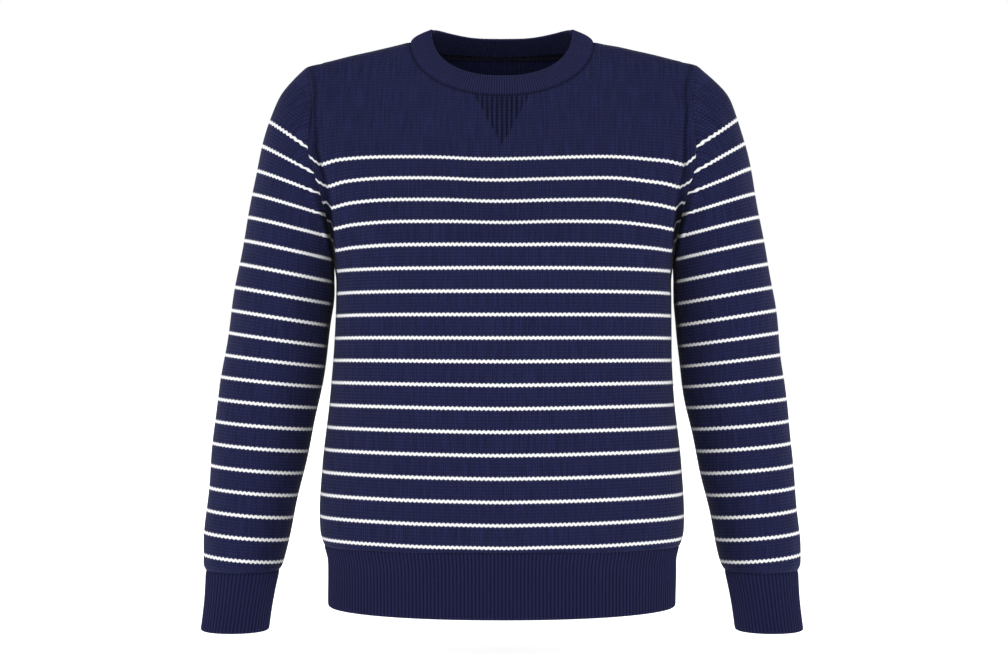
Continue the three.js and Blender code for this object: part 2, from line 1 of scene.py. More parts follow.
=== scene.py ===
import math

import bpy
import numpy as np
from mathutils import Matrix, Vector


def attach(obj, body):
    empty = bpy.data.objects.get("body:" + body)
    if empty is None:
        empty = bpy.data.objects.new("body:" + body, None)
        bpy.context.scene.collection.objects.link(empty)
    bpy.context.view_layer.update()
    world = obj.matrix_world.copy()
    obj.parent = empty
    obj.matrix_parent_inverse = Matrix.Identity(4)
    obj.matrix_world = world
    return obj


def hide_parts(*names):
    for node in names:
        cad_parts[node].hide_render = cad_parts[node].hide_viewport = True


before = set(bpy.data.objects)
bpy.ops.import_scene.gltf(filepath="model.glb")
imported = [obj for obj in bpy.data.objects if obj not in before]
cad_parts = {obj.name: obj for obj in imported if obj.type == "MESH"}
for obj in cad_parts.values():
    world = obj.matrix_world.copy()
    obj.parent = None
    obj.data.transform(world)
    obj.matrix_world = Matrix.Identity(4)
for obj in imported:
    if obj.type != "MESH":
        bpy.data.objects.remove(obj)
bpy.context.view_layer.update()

# A striped crew-neck jumper, filled out as if worn. Its knitted pieces are thin shells on the
# frame's solids: the same sections and levels, finely divided, with the creases, seams, ribs and
# stitches that the solids leave out. Sizes here are in millimetres; meshes are made in metres.

MM = 0.001

# Cloth
WALL = 2.5
BAND_WALL = 4.5
WALE = 5.0
COURSES_PER_STRIPE = 7
STRIPE_PITCH = 26.0
RIB_PITCH = 4.2
RIB_COURSE = 3.4
LAID_SHARE = 0.5

# Body levels
SHOULDER_POINT = (228.0, -30.0)
UNDERARM_Z = -257.0
BODY_BOTTOM = -586.5
HEM_BOTTOM = -657.0
HEM_SAG = {"front": 4.0, "back": 0.0}
HEM_SAG_TOP = -600.0
SECTION_POWER = 2.4

# Neck seam and the neckband's folded upper edge
NECK_HALF_WIDTH = 107.0
NECK = {"front": (68.0, 2.1), "back": (11.0, 2.4)}
BAND_TOP_HALF_WIDTH = 83.6
BAND_TOP_HEIGHT = 14.5
BAND_TOP_DEPTH = {"front": 33.0, "back": 38.0}
BAND_TOP_POWER = 2.3

# How far the folded edge lies below its height at the shoulders: in front by depth and power, at
# the back by the share of the way from the middle to the shoulder
BAND_FRONT_DROP = (58.5, 2.3)
BAND_BACK_DROP = (
    (0, 6.5), (0.27, 6.3), (0.43, 5.5), (0.58, 3.9), (0.7, 2.2), (0.8, 0.7),
    (0.87, -0.5), (0.95, -1.2), (1, 0),
)

# The band's outside bulges, most at the shoulders
BAND_WIDTH = 29.0
BAND_BULGE = 1.2
BAND_SHOULDER_BULGE = 1.4
BAND_BULGE_POWER = 0.65
SHOULDER_POWER = 6

# Its fold stands up by the crest, and its seam allowance lies under the panels, tucked down
# under the shoulder seams
BAND_CREST = 2.0
BAND_CREST_ROW = 1.2
SEAM_ALLOWANCE = 3.0
ALLOWANCE_DEPTHS = (0.4, 1.8)
SHOULDER_TUCK = 2.2

# Ribbing
NECK_RIBS = 172
NECK_RIB_HEIGHT = 0.9
CREST_RIB_SHARE = 0.16
INSIDE_RIB_SHARE = 0.8
HEM_RIBS_PER_HALF = 122
HEM_RIB_HEIGHT = 1.3
CUFF_RIBS = 58
CUFF_RIB_HEIGHT = 1.3
CUFF_WAIST = 1.2
VALLEY_POWER = 0.8
INNER_RIB_SHARE = 0.6
EDGE_DROP = np.array([0, 0, 1.0])

# V-shaped ribbed insert
INSERT_PITCH = 5.7
INSERT_HALF_WIDTH = 6 * INSERT_PITCH
INSERT_DEPTH = 62.0
INSERT_RIB_HEIGHT = 1.5
INSERT_VALLEY_POWER = 1.5
INSERT_SIDE_FADE = 2.5
INSERT_TOP_FADE = 2.0

# Level of the shoulder line by distance from the middle
SHOULDER_LINE = ((0, 25), (60, 16), (107, 0), (143, -9), (176.7, -16.5), (228, -30))
SHOULDER_SLOPE = 0.25

# Depth of each panel by the drop below the shoulder line
PROFILE = {
    "front": (
        (0, 0), (4, 10), (15, 17.5), (45, 31), (93, 50), (168, 76), (217, 96),
        (262, 112), (320, 117), (420, 115), (560, 114), (590, 112), (612, 107), (690, 105),
    ),
    "back": (
        (0, 0), (4, 11), (15, 26), (36, 47), (80, 63), (150, 80), (230, 93),
        (330, 99), (430, 98), (560, 105), (590, 105), (612, 102), (690, 101),
    ),
}

# Half-width at the side seam, and at the armhole seam above the underarm, by level
SIDE_SEAM = (
    (-657, 203), (-606, 203.2), (-587, 207.5), (-569, 211.8), (-550, 212.4), (-494, 209.4),
    (-419, 201), (-355, 195.4), (-308, 193.4), (-283, 193.2), (-257, 196), (-232, 197),
    (-206, 201.5), (-182, 207.5), (-156, 215.5), (-127, 222.5), (-100, 221), (-75, 219.5),
    (-30, 228),
)
ARMHOLE_POWERS = (2.4, 2.0)
GREATEST_SEAM_SHARE = 0.985

# The crease down the front beside each armhole seam: distance in from the seam by level, and
# how much further in the left one lies at the top, from the first level to the second
CREASE_SPAN = (-262.0, -150.0, -70.0)
CREASE_DEPTH = 7.0
CREASE_WIDTH = 5.5
CREASE_INSET = (
    (-262, 3.5), (-245, 4.4), (-220, 5.5), (-195, 8), (-169, 10.5), (-139, 10),
    (-120, 9.2), (-100, 6.2), (-75, 3.2), (-50, 5.4), (-38, 5.2),
)
LEFT_CREASE_IN = 3.3
LEFT_CREASE_LEVELS = (-160.0, -120.0)

# Sleeve sections: outer x, outer z, inner x, inner z, half-depth
SLEEVE_SECTIONS = (
    (228, -30, 196, -257, 56),
    (244.5, -44.5, 196.1, -260, 57),
    (259.7, -63, 196.1, -263, 58),
    (271, -91, 196, -268, 58.5),
    (280.5, -124, 195.9, -276, 58.5),
    (288, -160, 195.9, -287, 58),
    (296, -203, 196.6, -303, 57),
    (305.5, -254, 199.4, -330, 55.5),
    (314.5, -303, 204.4, -366, 54),
    (323, -361, 211.6, -408, 52),
    (331.5, -413, 221.2, -452, 50),
    (338, -470, 231, -500, 48),
    (343, -526, 241.8, -546, 46),
    (348.6, -584, 251, -590, 44),
    (349, -607, 255.5, -608, 43),
    (346.4, -617.5, 260, -617.5, 40),
)
SEAM_SHAPE_REACH = 0.35
CUFF_BOTTOM = (352.4, -686.5, 272.4, -686.5, 38.0)

# How far the cloth on the wearer's left leans out, and at which distances from the middle this
# starts and is full, each given low down and high up. The levels are those where low turns to
# high, and where the lean sets in at the top and at the bottom.
LEAN = 4.5
LEAN_FROM = (100.0, 215.0)
LEAN_TO = (220.0, 270.0)
LEAN_HIGH_LEVELS = (-170.0, -130.0)
LEAN_TOP_LEVELS = (-20.0, -70.0)
LEAN_BOTTOM_LEVELS = (-430.0, -290.0)

# How much higher the left shoulder lies: distances from the middle where this sets in and ends.
# Where the sleeves are sewn in, the seam stands up a little at the end of each shoulder, given
# by height, distance from the middle, width, level and reach.
LEFT_SHOULDER_LIFT = 1.6
LIFT_FROM = (112.0, 140.0)
LIFT_TO = (290.0, 240.0)
LIFT_FALL = 25.0
SHOULDER_CORNER = (1.5, 223.0, 13.0, -29.0, 15.0)

# Soft folds of the sleeves: along (0 armhole, 1 cuff), around in degrees from the outer edge
# with the front first, depth, length along, spread round in degrees
SLEEVE_FOLDS = (
    (0.30, 118, 3.2, 0.05, 34),
    (0.42, 140, 2.6, 0.04, 30),
    (0.62, 62, 1.8, 0.05, 30),
    (0.34, 236, 3.0, 0.05, 34),
    (0.50, 222, 2.4, 0.045, 30),
    (0.70, 290, 1.8, 0.05, 32),
)
FOLD_TILT = 0.03

# Stripes. The body's ninth stripe is at this level in the middle of the front; the sleeve's
# lie in slanted planes, given by level at one distance from the middle and by slope.
BODY_STRIPES = 18
BODY_STRIPE_9_Z = -345.7
SLEEVE_STRIPES = 20
SLEEVE_STRIPE_X = 260.0
SLEEVE_STRIPE_Z = (
    (-1, -32), (0, -68), (1, -102), (2, -133.4), (3, -161.5), (5, -214.7), (9, -322.6),
    (13, -423.4), (17, -527.2), (20, -606), (21, -632),
)
SLEEVE_STRIPE_SLOPE = (
    (-1, 0.85), (1, 0.7), (3, 0.384), (5, 0.25), (9, 0.158), (14, 0.085), (20, 0.09),
)

# How much higher the left sleeve's stripes lie at its outer edge, by level, and the share of it
# between two distances from the middle
LEFT_STRIPE_RAISE = ((-230, 0), (-203, 0.4), (-175, 1), (-146, 3.4), (-118, 4.2), (-89, 4.5))
LEFT_RAISE_SHARE = (0.25, 0.95)
LEFT_RAISE_SPAN = (232.0, 292.0)

# The body's stripes bow: how far each lies below its level in the middle, and above it at
# BOW_X, both by level. Under the neck they sag as well.
BOW_X = 177.0
BOW_POWER = 1.3
STRIPE_MIDDLE = ((-577, 1.45), (-420, 1.3), (-350, 0.5), (-250, 0.3), (-200, -0.1), (-140, -0.9))
STRIPE_SIDE = ((-577, -2.1), (-400, -1.0), (-330, 0.1), (-250, 0.5), (-140, 0))
STRIPE_SAG = ((-260, 0), (-150, 4.9), (-100, 5.2))
STRIPE_SAG_WIDTH = 75.0

# Beside the armhole they dip towards the front's crease, by level; the dip fades away from it
# in two parts, each a share and a width
STRIPE_DIP = (
    (-262, 1), (-243, 4.5), (-217, 6.5), (-192, 8), (-167, 8.5), (-143, 7.5), (-110, 3), (-90, 0),
)
STRIPE_DIP_SPREAD = ((0.45, 14.0), (0.55, 46.0))

# Beyond the crease they end higher up, by level: gradually where the tuck beside the armhole is
# seen, and at once in its depth further down
STRIPE_LIFT = (
    (-262, 12), (-229, 12.5), (-209, 8.5), (-187, 6), (-165, 7.5), (-143, 9.5), (-110, 6), (-90, 0),
)
STRIPE_LIFT_LEVELS = (-292.0, -262.0)
STRIPE_LIFT_POWER = 1.3
STRIPE_TUCK_LEVELS = (-170.0, -195.0)
STRIPE_TUCK_SPAN = (0.0, 0.35)

# One soft dip more on the left: height, distance from the middle, width, level and reach
LEFT_DIP = (1.5, 172.0, 30.0, -190.0, 60.0)

# Seam grooves and rounded edges: how deep the cloth turns in, and how wide
ARMHOLE_GROOVE = (0.8, 2.2)
NECK_GROOVE = (0.7, 2.4)
SIDE_GROOVE = (0.7, 2.0)
HEM_GROOVE = (0.8, 2.5)
BAND_GROOVE = (0.4, 2.2)
EDGE_GROOVE = (0.5, 1.5)
UNDERARM_BLEND = 6.0
NECK_BLEND = 4.0
SEAM_SETBACK = 1.5
ON_SEAM = 0.01

# Slow unevenness of the cloth: its height, its length and how far from a seam it sets in
BODY_RIPPLE = (0.9, 90.0, 30.0)
SLEEVE_RIPPLE = (0.8, 80.0, 25.0)
HEM_RIPPLE = (0.5, 70.0)
RIPPLE_TURN = {"front": 0.4, "back": 2.9, "left": 1.1, "right": 4.2}
HEM_RIPPLE_TURN = {"front": 1.3, "back": 3.1}

# Painted shade, from 0 to 1: inside seams, folds and the insert's valleys, on the cloth's inside and
# on the sleeve's side towards the body, with its widths; the painted shade of the tuck between the
# crease and the armhole and of the sleeve's edge against the body goes by level
NECK_SEAM_SHADE = 0.6
NECK_SHADE_WIDTHS = {"panel": 1.7, "band": 1.4}
ARMHOLE_SEAM_SHADE = 0.3
SEAM_SHADE_WIDTH = 1.6
INSERT_SHADE = 0.72
CREASE_LINE_SHADE = 0.7
CREASE_LINE_LEVELS = (-195.0, -150.0)
TUCK_SHADE = (
    (-330, 0.2), (-262, 0.94), (-230, 0.94), (-208, 0.9), (-190, 0.6), (-172, 0.2), (-150, 0),
)
TUCK_SPANS = {"panel": (1.5, -0.5), "sleeve": (14.0, 3.0)}
INSIDE_SHADE = 0.5
PANEL_INSIDE_SHADE = 0.1
SLEEVE_SEAM_LEVELS = (-140.0, -160.0)
SLEEVE_INNER_SHADE = 0.35
SLEEVE_INNER_SPAN = (0.45, 1.0)
SLEEVE_EDGE_SHADE = ((-470, 0.2), (-400, 0.4), (-340, 0.85), (-262, 0.92), (-240, 0.6), (-200, 0))
SLEEVE_EDGE_SPAN = (0.945, 0.985)

# Fineness of the shells
LOW_ROWS = 100
ARMHOLE_ROWS = 84
INSERT_COLUMN = 0.95
INSERT_MARGIN = 3.0
NECK_COLUMNS = 22
SHOULDER_COLUMNS = 30
SLEEVE_ROWS = 190
SLEEVE_COLUMNS = 120
RIB_COLUMNS = 6
BAND_STEPS = (0, 0.03, 0.08, 0.16, 0.27, 0.4, 0.54, 0.68, 0.8, 0.9, 0.96, 1)
BAND_CREST_STEPS = 5
CUFF_STEPS = (0, 0.012, 0.04, 0.1, 0.2, 0.35, 0.5, 0.65, 0.78, 0.88, 0.94, 0.975, 1)
HEM_LEVELS = (
    -657, -656.2, -654, -650, -643, -634, -625, -616, -608, -601, -595, -590, -587.6, -586.5,
)
ACROSS_ROWS = 90
ACROSS_COLUMNS = 220
HALVINGS = 26

# Up to this share of a panel's columns its top edge is the neck, and then the shoulder
NECK_SHARE = 0.5

# Columns stay upright up to this share of a panel's width, and crowd beyond it
UPRIGHT_SHARE = 0.2
CROWDING_POWER = 1.5


def table_curve(table, at):
    """Smooth curve through a table's rows, without overshoot."""
    rows = np.array(table, dtype=float)
    x, y = rows[:, 0], rows[:, 1]
    at = np.clip(np.asarray(at, dtype=float), x[0], x[-1])
    slopes = np.diff(y) / np.diff(x)
    tangent = np.empty_like(y)
    tangent[0], tangent[-1] = slopes[0], slopes[-1]
    product = slopes[:-1] * slopes[1:]
    total = np.where(product > 0, slopes[:-1] + slopes[1:], 1.0)
    tangent[1:-1] = np.where(product > 0, 2 * product / total, 0.0)
    i = np.clip(np.searchsorted(x, at, side="right") - 1, 0, len(x) - 2)
    width = x[i + 1] - x[i]
    s = (at - x[i]) / width
    return (
        y[i] * (1 + 2 * s) * (1 - s) ** 2
        + y[i + 1] * s * s * (3 - 2 * s)
        + width * (tangent[i] * s * (1 - s) ** 2 - tangent[i + 1] * s * s * (1 - s))
    )


def smooth_step(low, high, value):
    s = np.clip((value - low) / (high - low), 0, 1)
    return s * s * (3 - 2 * s)


def bump(distance, width):
    return np.exp(-((distance / width) ** 2))


def super_cos(angle, power):
    return np.sign(np.cos(angle)) * np.abs(np.cos(angle)) ** (2 / power)


def super_sin(angle, power):
    return np.sign(np.sin(angle)) * np.abs(np.sin(angle)) ** (2 / power)


def shoulder_line(x):
    return table_curve(SHOULDER_LINE, np.abs(x))


def side_seam(z):
    return table_curve(SIDE_SEAM, z)


def seam_share(z):
    """Share of a panel's depth that is left at its seam."""
    fall = np.clip((SHOULDER_POINT[1] - z) / (SHOULDER_POINT[1] - UNDERARM_Z), 0, 1)
    drop_power, width_power = ARMHOLE_POWERS
    return np.minimum(GREATEST_SEAM_SHARE, (1 - fall**drop_power) ** (1 / width_power))


def section_reach(z):
    cut = (1 - seam_share(z) ** SECTION_POWER) ** (1 / SECTION_POWER)
    return side_seam(z) / cut


def crease_inset(x, z):
    """How far in from the seam the crease lies."""
    further_in = LEFT_CREASE_IN * smooth_step(*LEFT_CREASE_LEVELS, z) * (np.asarray(x) > 0)
    return table_curve(CREASE_INSET, z) + further_in


def crease(x, z):
    """Inward groove of the front beside the armhole seam."""
    low, deepest, high = CREASE_SPAN
    room = np.clip((z - low) / (deepest - low), 0, 1)
    end = np.clip((high - z) / (high - deepest), 0, 1)
    inset = side_seam(z) - np.abs(x) - crease_inset(x, z)
    return CREASE_DEPTH * np.sin(math.pi / 2 * np.minimum(room, end)) * bump(inset, CREASE_WIDTH)


def panel_depth(face, x, z):
    """Depth of a panel at a point seen from the front."""
    full = table_curve(PROFILE[face], np.maximum(0, shoulder_line(x) - z))
    share = np.maximum(0, 1 - (np.abs(x) / section_reach(z)) ** SECTION_POWER) ** (1 / SECTION_POWER)
    depth = full * share
    if face == "front":
        return -(depth - np.minimum(depth, crease(x, z)))
    return depth


def lerp(a, b, t):
    return a + (b - a) * t


def armhole_level(climb):
    """Level on the armhole seam by the share of its rows, which crowd at both ends."""
    return lerp(UNDERARM_Z, SHOULDER_POINT[1], (1 - np.cos(math.pi * climb)) / 2)


def top_outline(face, column):
    """Panel's top edge by column: the neck seam up to NECK_SHARE, then the shoulder seam."""
    drop, power = NECK[face]
    angle = np.minimum(column / NECK_SHARE, 1) * math.pi / 2
    shoulder_x = lerp(NECK_HALF_WIDTH, SHOULDER_POINT[0], (column - NECK_SHARE) / (1 - NECK_SHARE))
    at_neck = column <= NECK_SHARE
    x = np.where(at_neck, NECK_HALF_WIDTH * super_sin(angle, power), shoulder_x)
    z = np.where(at_neck, -drop * super_cos(angle, power), shoulder_line(shoulder_x))
    return x, z


def half_columns():
    """Columns from the middle to the side, close together where the insert's ribs are."""
    insert_x = np.arange(0, INSERT_HALF_WIDTH + INSERT_MARGIN, INSERT_COLUMN)
    power = NECK["front"][1]
    insert = NECK_SHARE * np.arcsin((insert_x / NECK_HALF_WIDTH) ** (power / 2)) / (math.pi / 2)
    neck = np.linspace(insert[-1], NECK_SHARE, NECK_COLUMNS + 1)[1:]
    shoulder = np.linspace(NECK_SHARE, 1, SHOULDER_COLUMNS + 1)[1:]
    return np.concatenate([insert, neck, shoulder])


def side_crowded(spread):
    """Columns stay upright in the middle of a panel and crowd towards its rounded sides."""
    return spread + np.maximum(0, spread - UPRIGHT_SHARE) * (1 - spread) / (1 - UPRIGHT_SHARE)


def panel_grid(face):
    """Points of a panel's plain surface, rows upwards and columns from its right to its left
    as seen from outside, with each column's place at the top edge."""
    half = half_columns()
    columns = np.concatenate([-half[:0:-1], half])
    low = np.linspace(0, 1, LOW_ROWS + 1)
    climb = np.concatenate([np.zeros(LOW_ROWS), np.linspace(0, 1, ARMHOLE_ROWS + 1)])[:, None]
    edge_z = np.where(
        climb > 0,
        armhole_level(climb),
        lerp(BODY_BOTTOM, UNDERARM_Z, np.concatenate([low, np.ones(ARMHOLE_ROWS)])[:, None]),
    )
    top_x, top_z = top_outline(face, np.abs(columns)[None, :])
    rise = (edge_z - UNDERARM_Z) / (SHOULDER_POINT[1] - UNDERARM_Z)
    z = np.where(climb > 0, lerp(UNDERARM_Z, top_z, rise), edge_z)
    top_spread = top_x / SHOULDER_POINT[0]
    spread = lerp(side_crowded(top_spread), top_spread, climb**CROWDING_POWER)
    x = np.sign(columns)[None, :] * side_seam(edge_z) * spread
    points = np.stack([x, panel_depth(face, x, z), z], axis=-1)
    top = np.stack(np.broadcast_arrays(np.sign(columns)[None, :] * top_x, top_z), axis=-1)[0]
    if face == "back":
        return points[:, ::-1], top[::-1]
    return points, top


def normalized(vectors):
    return vectors / np.maximum(np.linalg.norm(vectors, axis=-1, keepdims=True), 1e-9)


def grid_normals(points, closed):
    """Outward normals of a grid whose columns x rows point outwards."""
    if closed:
        across = np.roll(points, -1, axis=1) - np.roll(points, 1, axis=1)
    else:
        across = np.gradient(points, axis=1)
    up = np.gradient(points, axis=0)
    return normalized(np.cross(across, up))


def level_normals(points, closed):
    """Outward normals without slope, which point straight out at the side seams."""
    normals = grid_normals(points, closed)
    normals[..., 2] = 0
    normals[np.abs(points[..., 1]) < ON_SEAM, 1] = 0
    return normalized(normals)


def lengths_along(points, axis):
    """Distance along a grid's rows or columns from the first one."""
    steps = np.linalg.norm(np.diff(points, axis=axis), axis=-1)
    pad = [(0, 0), (0, 0)]
    pad[axis] = (1, 0)
    return np.pad(np.cumsum(steps, axis=axis), pad)


def lean(points):
    """On the wearer's left the cloth hangs a little further out and the shoulder is higher."""
    x, z = points[..., 0], points[..., 2]
    high = smooth_step(*LEAN_HIGH_LEVELS, z)
    outward = smooth_step(lerp(*LEAN_FROM, high), lerp(*LEAN_TO, high), x)
    outward = outward * smooth_step(*LEAN_TOP_LEVELS, z) * smooth_step(*LEAN_BOTTOM_LEVELS, z)
    lift = LEFT_SHOULDER_LIFT * smooth_step(*LIFT_FROM, x) * smooth_step(*LIFT_TO, x)
    lift = lift * bump(np.maximum(0, shoulder_line(x) - z), LIFT_FALL)
    height, corner_x, width, corner_z, reach = SHOULDER_CORNER
    lift = lift + height * bump(np.abs(x) - corner_x, width) * bump(z - corner_z, reach)
    leaning = points.copy()
    leaning[..., 0] = x + LEAN * outward
    leaning[..., 2] = z + lift
    return leaning


def cells(grid):
    """The four corners of each of a grid's cells, all round."""
    return grid[:-1, :-1], grid[:-1, 1:], grid[1:, 1:], grid[1:, :-1]


def shell(name, outer, inner, uv, inner_uv, closed, material, shade=None, inside=INSIDE_SHADE):
    """A closed knitted wall from an outer and an inner grid. UV grids are in metres of cloth and
    have one more column than a closed grid's points. shade is the painted shade, from 0 to 1, on
    the outer grid's points, and inside is the painted shade on the inner grid's, the cloth's inside."""
    if shade is None:
        shade = np.zeros(outer.shape[:2])
    parts = []
    corners = []

    def index(grid, base):
        rows, columns = grid.shape[:2]
        table = base + np.arange(rows * columns).reshape(rows, columns)
        return np.hstack([table, table[:, :1]]) if closed else table

    def add(a, b, c, d, uvs):
        parts.append(np.stack([a, b, c, d], axis=-1).reshape(-1, 4))
        corners.append(np.stack(uvs, axis=-2).reshape(-1, 4, 2))

    def join(outside, within, at):
        add(outside[:-1], outside[1:], within[1:], within[:-1], (at[:-1], at[1:], at[1:], at[:-1]))

    o = index(outer, 0)
    i = index(inner, outer.shape[0] * outer.shape[1])
    add(*cells(o), cells(uv))
    a, b, c, d = cells(i)
    uv_a, uv_b, uv_c, uv_d = cells(inner_uv)
    add(a, d, c, b, (uv_a, uv_d, uv_c, uv_b))
    join(o[0, ::-1], i[0, ::-1], uv[0, ::-1])
    join(o[-1], i[-1], uv[-1])
    if not closed:
        join(o[:, 0], i[:, 0], uv[:, 0])
        join(o[::-1, -1], i[::-1, -1], uv[::-1, -1])

    vertices = lean(np.concatenate([outer.reshape(-1, 3), inner.reshape(-1, 3)])) * MM
    faces = np.concatenate(parts)
    mesh = bpy.data.meshes.new(name)
    mesh.from_pydata(vertices.tolist(), [], faces.tolist())
    layer = mesh.uv_layers.new(name="cloth")
    layer.data.foreach_set("uv", np.concatenate(corners).astype(np.float32).ravel())
    mesh.polygons.foreach_set("use_smooth", np.ones(len(faces), dtype=bool))
    mesh.materials.append(material)
    # Painted shade per point, stored in the shade attribute
    values = np.full(len(vertices), inside, dtype=np.float32)
    values[: shade.size] = np.clip(shade, 0, 1).ravel()
    mesh.attributes.new("shade", "FLOAT", "POINT").data.foreach_set("value", values)
    mesh.update()
    piece = bpy.data.objects.new(name, mesh)
    bpy.context.scene.collection.objects.link(piece)
    return piece


def pull_back(edge, following, amount):
    """Move a wall's inner edge back from its seam."""
    edge += normalized(following - edge) * amount


def front_arc():
    """Length of cloth up the middle of the front by level, from its slope."""
    z = np.linspace(HEM_BOTTOM, SHOULDER_LINE[0][1], 400)
    depth = table_curve(PROFILE["front"], SHOULDER_LINE[0][1] - z)
    extra = np.hypot(np.diff(z), np.diff(depth)) - np.diff(z)
    return z, np.concatenate([[0], np.cumsum(extra)])


ARC_Z, ARC_EXTRA = front_arc()


def course_level(face, x, z):
    """Level at which a point's course of stitches crosses the middle of the front."""
    sag = table_curve(STRIPE_SAG, z) * (1 - bump(x, STRIPE_SAG_WIDTH))
    aside = np.abs(x / BOW_X) ** BOW_POWER
    bow = lerp(table_curve(STRIPE_MIDDLE, z), table_curve(STRIPE_SIDE, z), aside)
    level = z - sag + bow
    if face == "back":
        return level
    inset = side_seam(z) - np.abs(x)
    line_inset = crease_inset(x, z)
    off_crease = np.maximum(0, inset - line_inset)
    dip = sum(share * bump(off_crease, width) for share, width in STRIPE_DIP_SPREAD)
    beyond = np.clip((line_inset - inset) / line_inset, 0, 1)
    in_tuck = smooth_step(*STRIPE_TUCK_SPAN, beyond)
    rise = lerp(beyond**STRIPE_LIFT_POWER, in_tuck, smooth_step(*STRIPE_TUCK_LEVELS, z))
    rise = rise * smooth_step(*STRIPE_LIFT_LEVELS, z)
    level = level + table_curve(STRIPE_DIP, z) * dip - table_curve(STRIPE_LIFT, z) * rise
    height, middle_x, width, middle_z, reach = LEFT_DIP
    return level + height * bump(x - middle_x, width) * bump(z - middle_z, reach)


def stripe_number(level):
    """Stripes counted downwards, the same number everywhere along one course."""
    length = level + np.interp(level, ARC_Z, ARC_EXTRA)
    ninth = BODY_STRIPE_9_Z + np.interp(BODY_STRIPE_9_Z, ARC_Z, ARC_EXTRA)
    return 9 + (ninth - length) / STRIPE_PITCH


def across_length(face, x, z):
    """Length of cloth from the middle of a panel to a point, along its level."""
    levels = np.linspace(BODY_BOTTOM, SHOULDER_LINE[0][1], ACROSS_ROWS)
    reach = np.linspace(0, SHOULDER_POINT[0] + 2, ACROSS_COLUMNS)
    depth = panel_depth(face, reach[None, :], levels[:, None])
    steps = np.hypot(np.diff(reach)[None, :], np.diff(depth, axis=1))
    lengths = np.pad(np.cumsum(steps, axis=1), ((0, 0), (1, 0)))
    row = np.clip((z - levels[0]) / (levels[1] - levels[0]), 0, ACROSS_ROWS - 1.001)
    column = np.clip(np.abs(x) / (reach[1] - reach[0]), 0, ACROSS_COLUMNS - 1.001)
    r, c = row.astype(int), column.astype(int)
    low = lerp(lengths[r, c], lengths[r, c + 1], column - c)
    high = lerp(lengths[r + 1, c], lengths[r + 1, c + 1], column - c)
    return np.sign(x) * lerp(low, high, row - r)


def knit_across(laid, seen):
    """Wales are spread between even spacing on the cloth and even spacing as seen from the
    front, because the knit is stretched round the sides."""
    return lerp(seen, laid, LAID_SHARE)


def cloth_uv(across, stripe):
    return np.stack([across * MM, -stripe * STRIPE_PITCH * MM], axis=-1)


def insert_valley(column_x, below):
    """How far the insert's knit sinks between its ribs, by the drop below the neck seam."""
    reach = INSERT_HALF_WIDTH * (1 - below / INSERT_DEPTH)
    side_fade = np.clip((reach - np.abs(column_x)) / INSERT_SIDE_FADE, 0, 1)
    top_fade = np.clip(below / INSERT_TOP_FADE, 0, 1)
    wave = 0.5 + 0.5 * np.cos(2 * math.pi * column_x / INSERT_PITCH)
    sunk = INSERT_RIB_HEIGHT * side_fade * top_fade * wave**INSERT_VALLEY_POWER
    return sunk * (np.abs(column_x) < NECK_HALF_WIDTH)


def groove(distance, shape):
    depth, width = shape
    return depth * bump(distance, width)


def ripple(x, z, scale, seed):
    """Slow unevenness of soft cloth, from a few sine waves."""
    total = np.zeros(np.broadcast(x, z).shape)
    for k in range(4):
        turn = seed + 1.7 * k
        wave = (math.cos(turn) * x + math.sin(turn) * z) / (scale * (1 + 0.37 * k))
        total = total + np.sin(2 * math.pi * wave + 2.3 * turn) / (1 + k)
    return total / 2


def crease_shade(x, z):
    """Painted shade in the front's crease, and between it and the armhole seam."""
    off_crease = side_seam(z) - np.abs(x) - crease_inset(x, z)
    line = CREASE_LINE_SHADE * bump(off_crease, SEAM_SHADE_WIDTH) * smooth_step(*CREASE_LINE_LEVELS, z)
    tuck = table_curve(TUCK_SHADE, z) * smooth_step(*TUCK_SPANS["panel"], off_crease)
    return np.maximum(line, tuck)


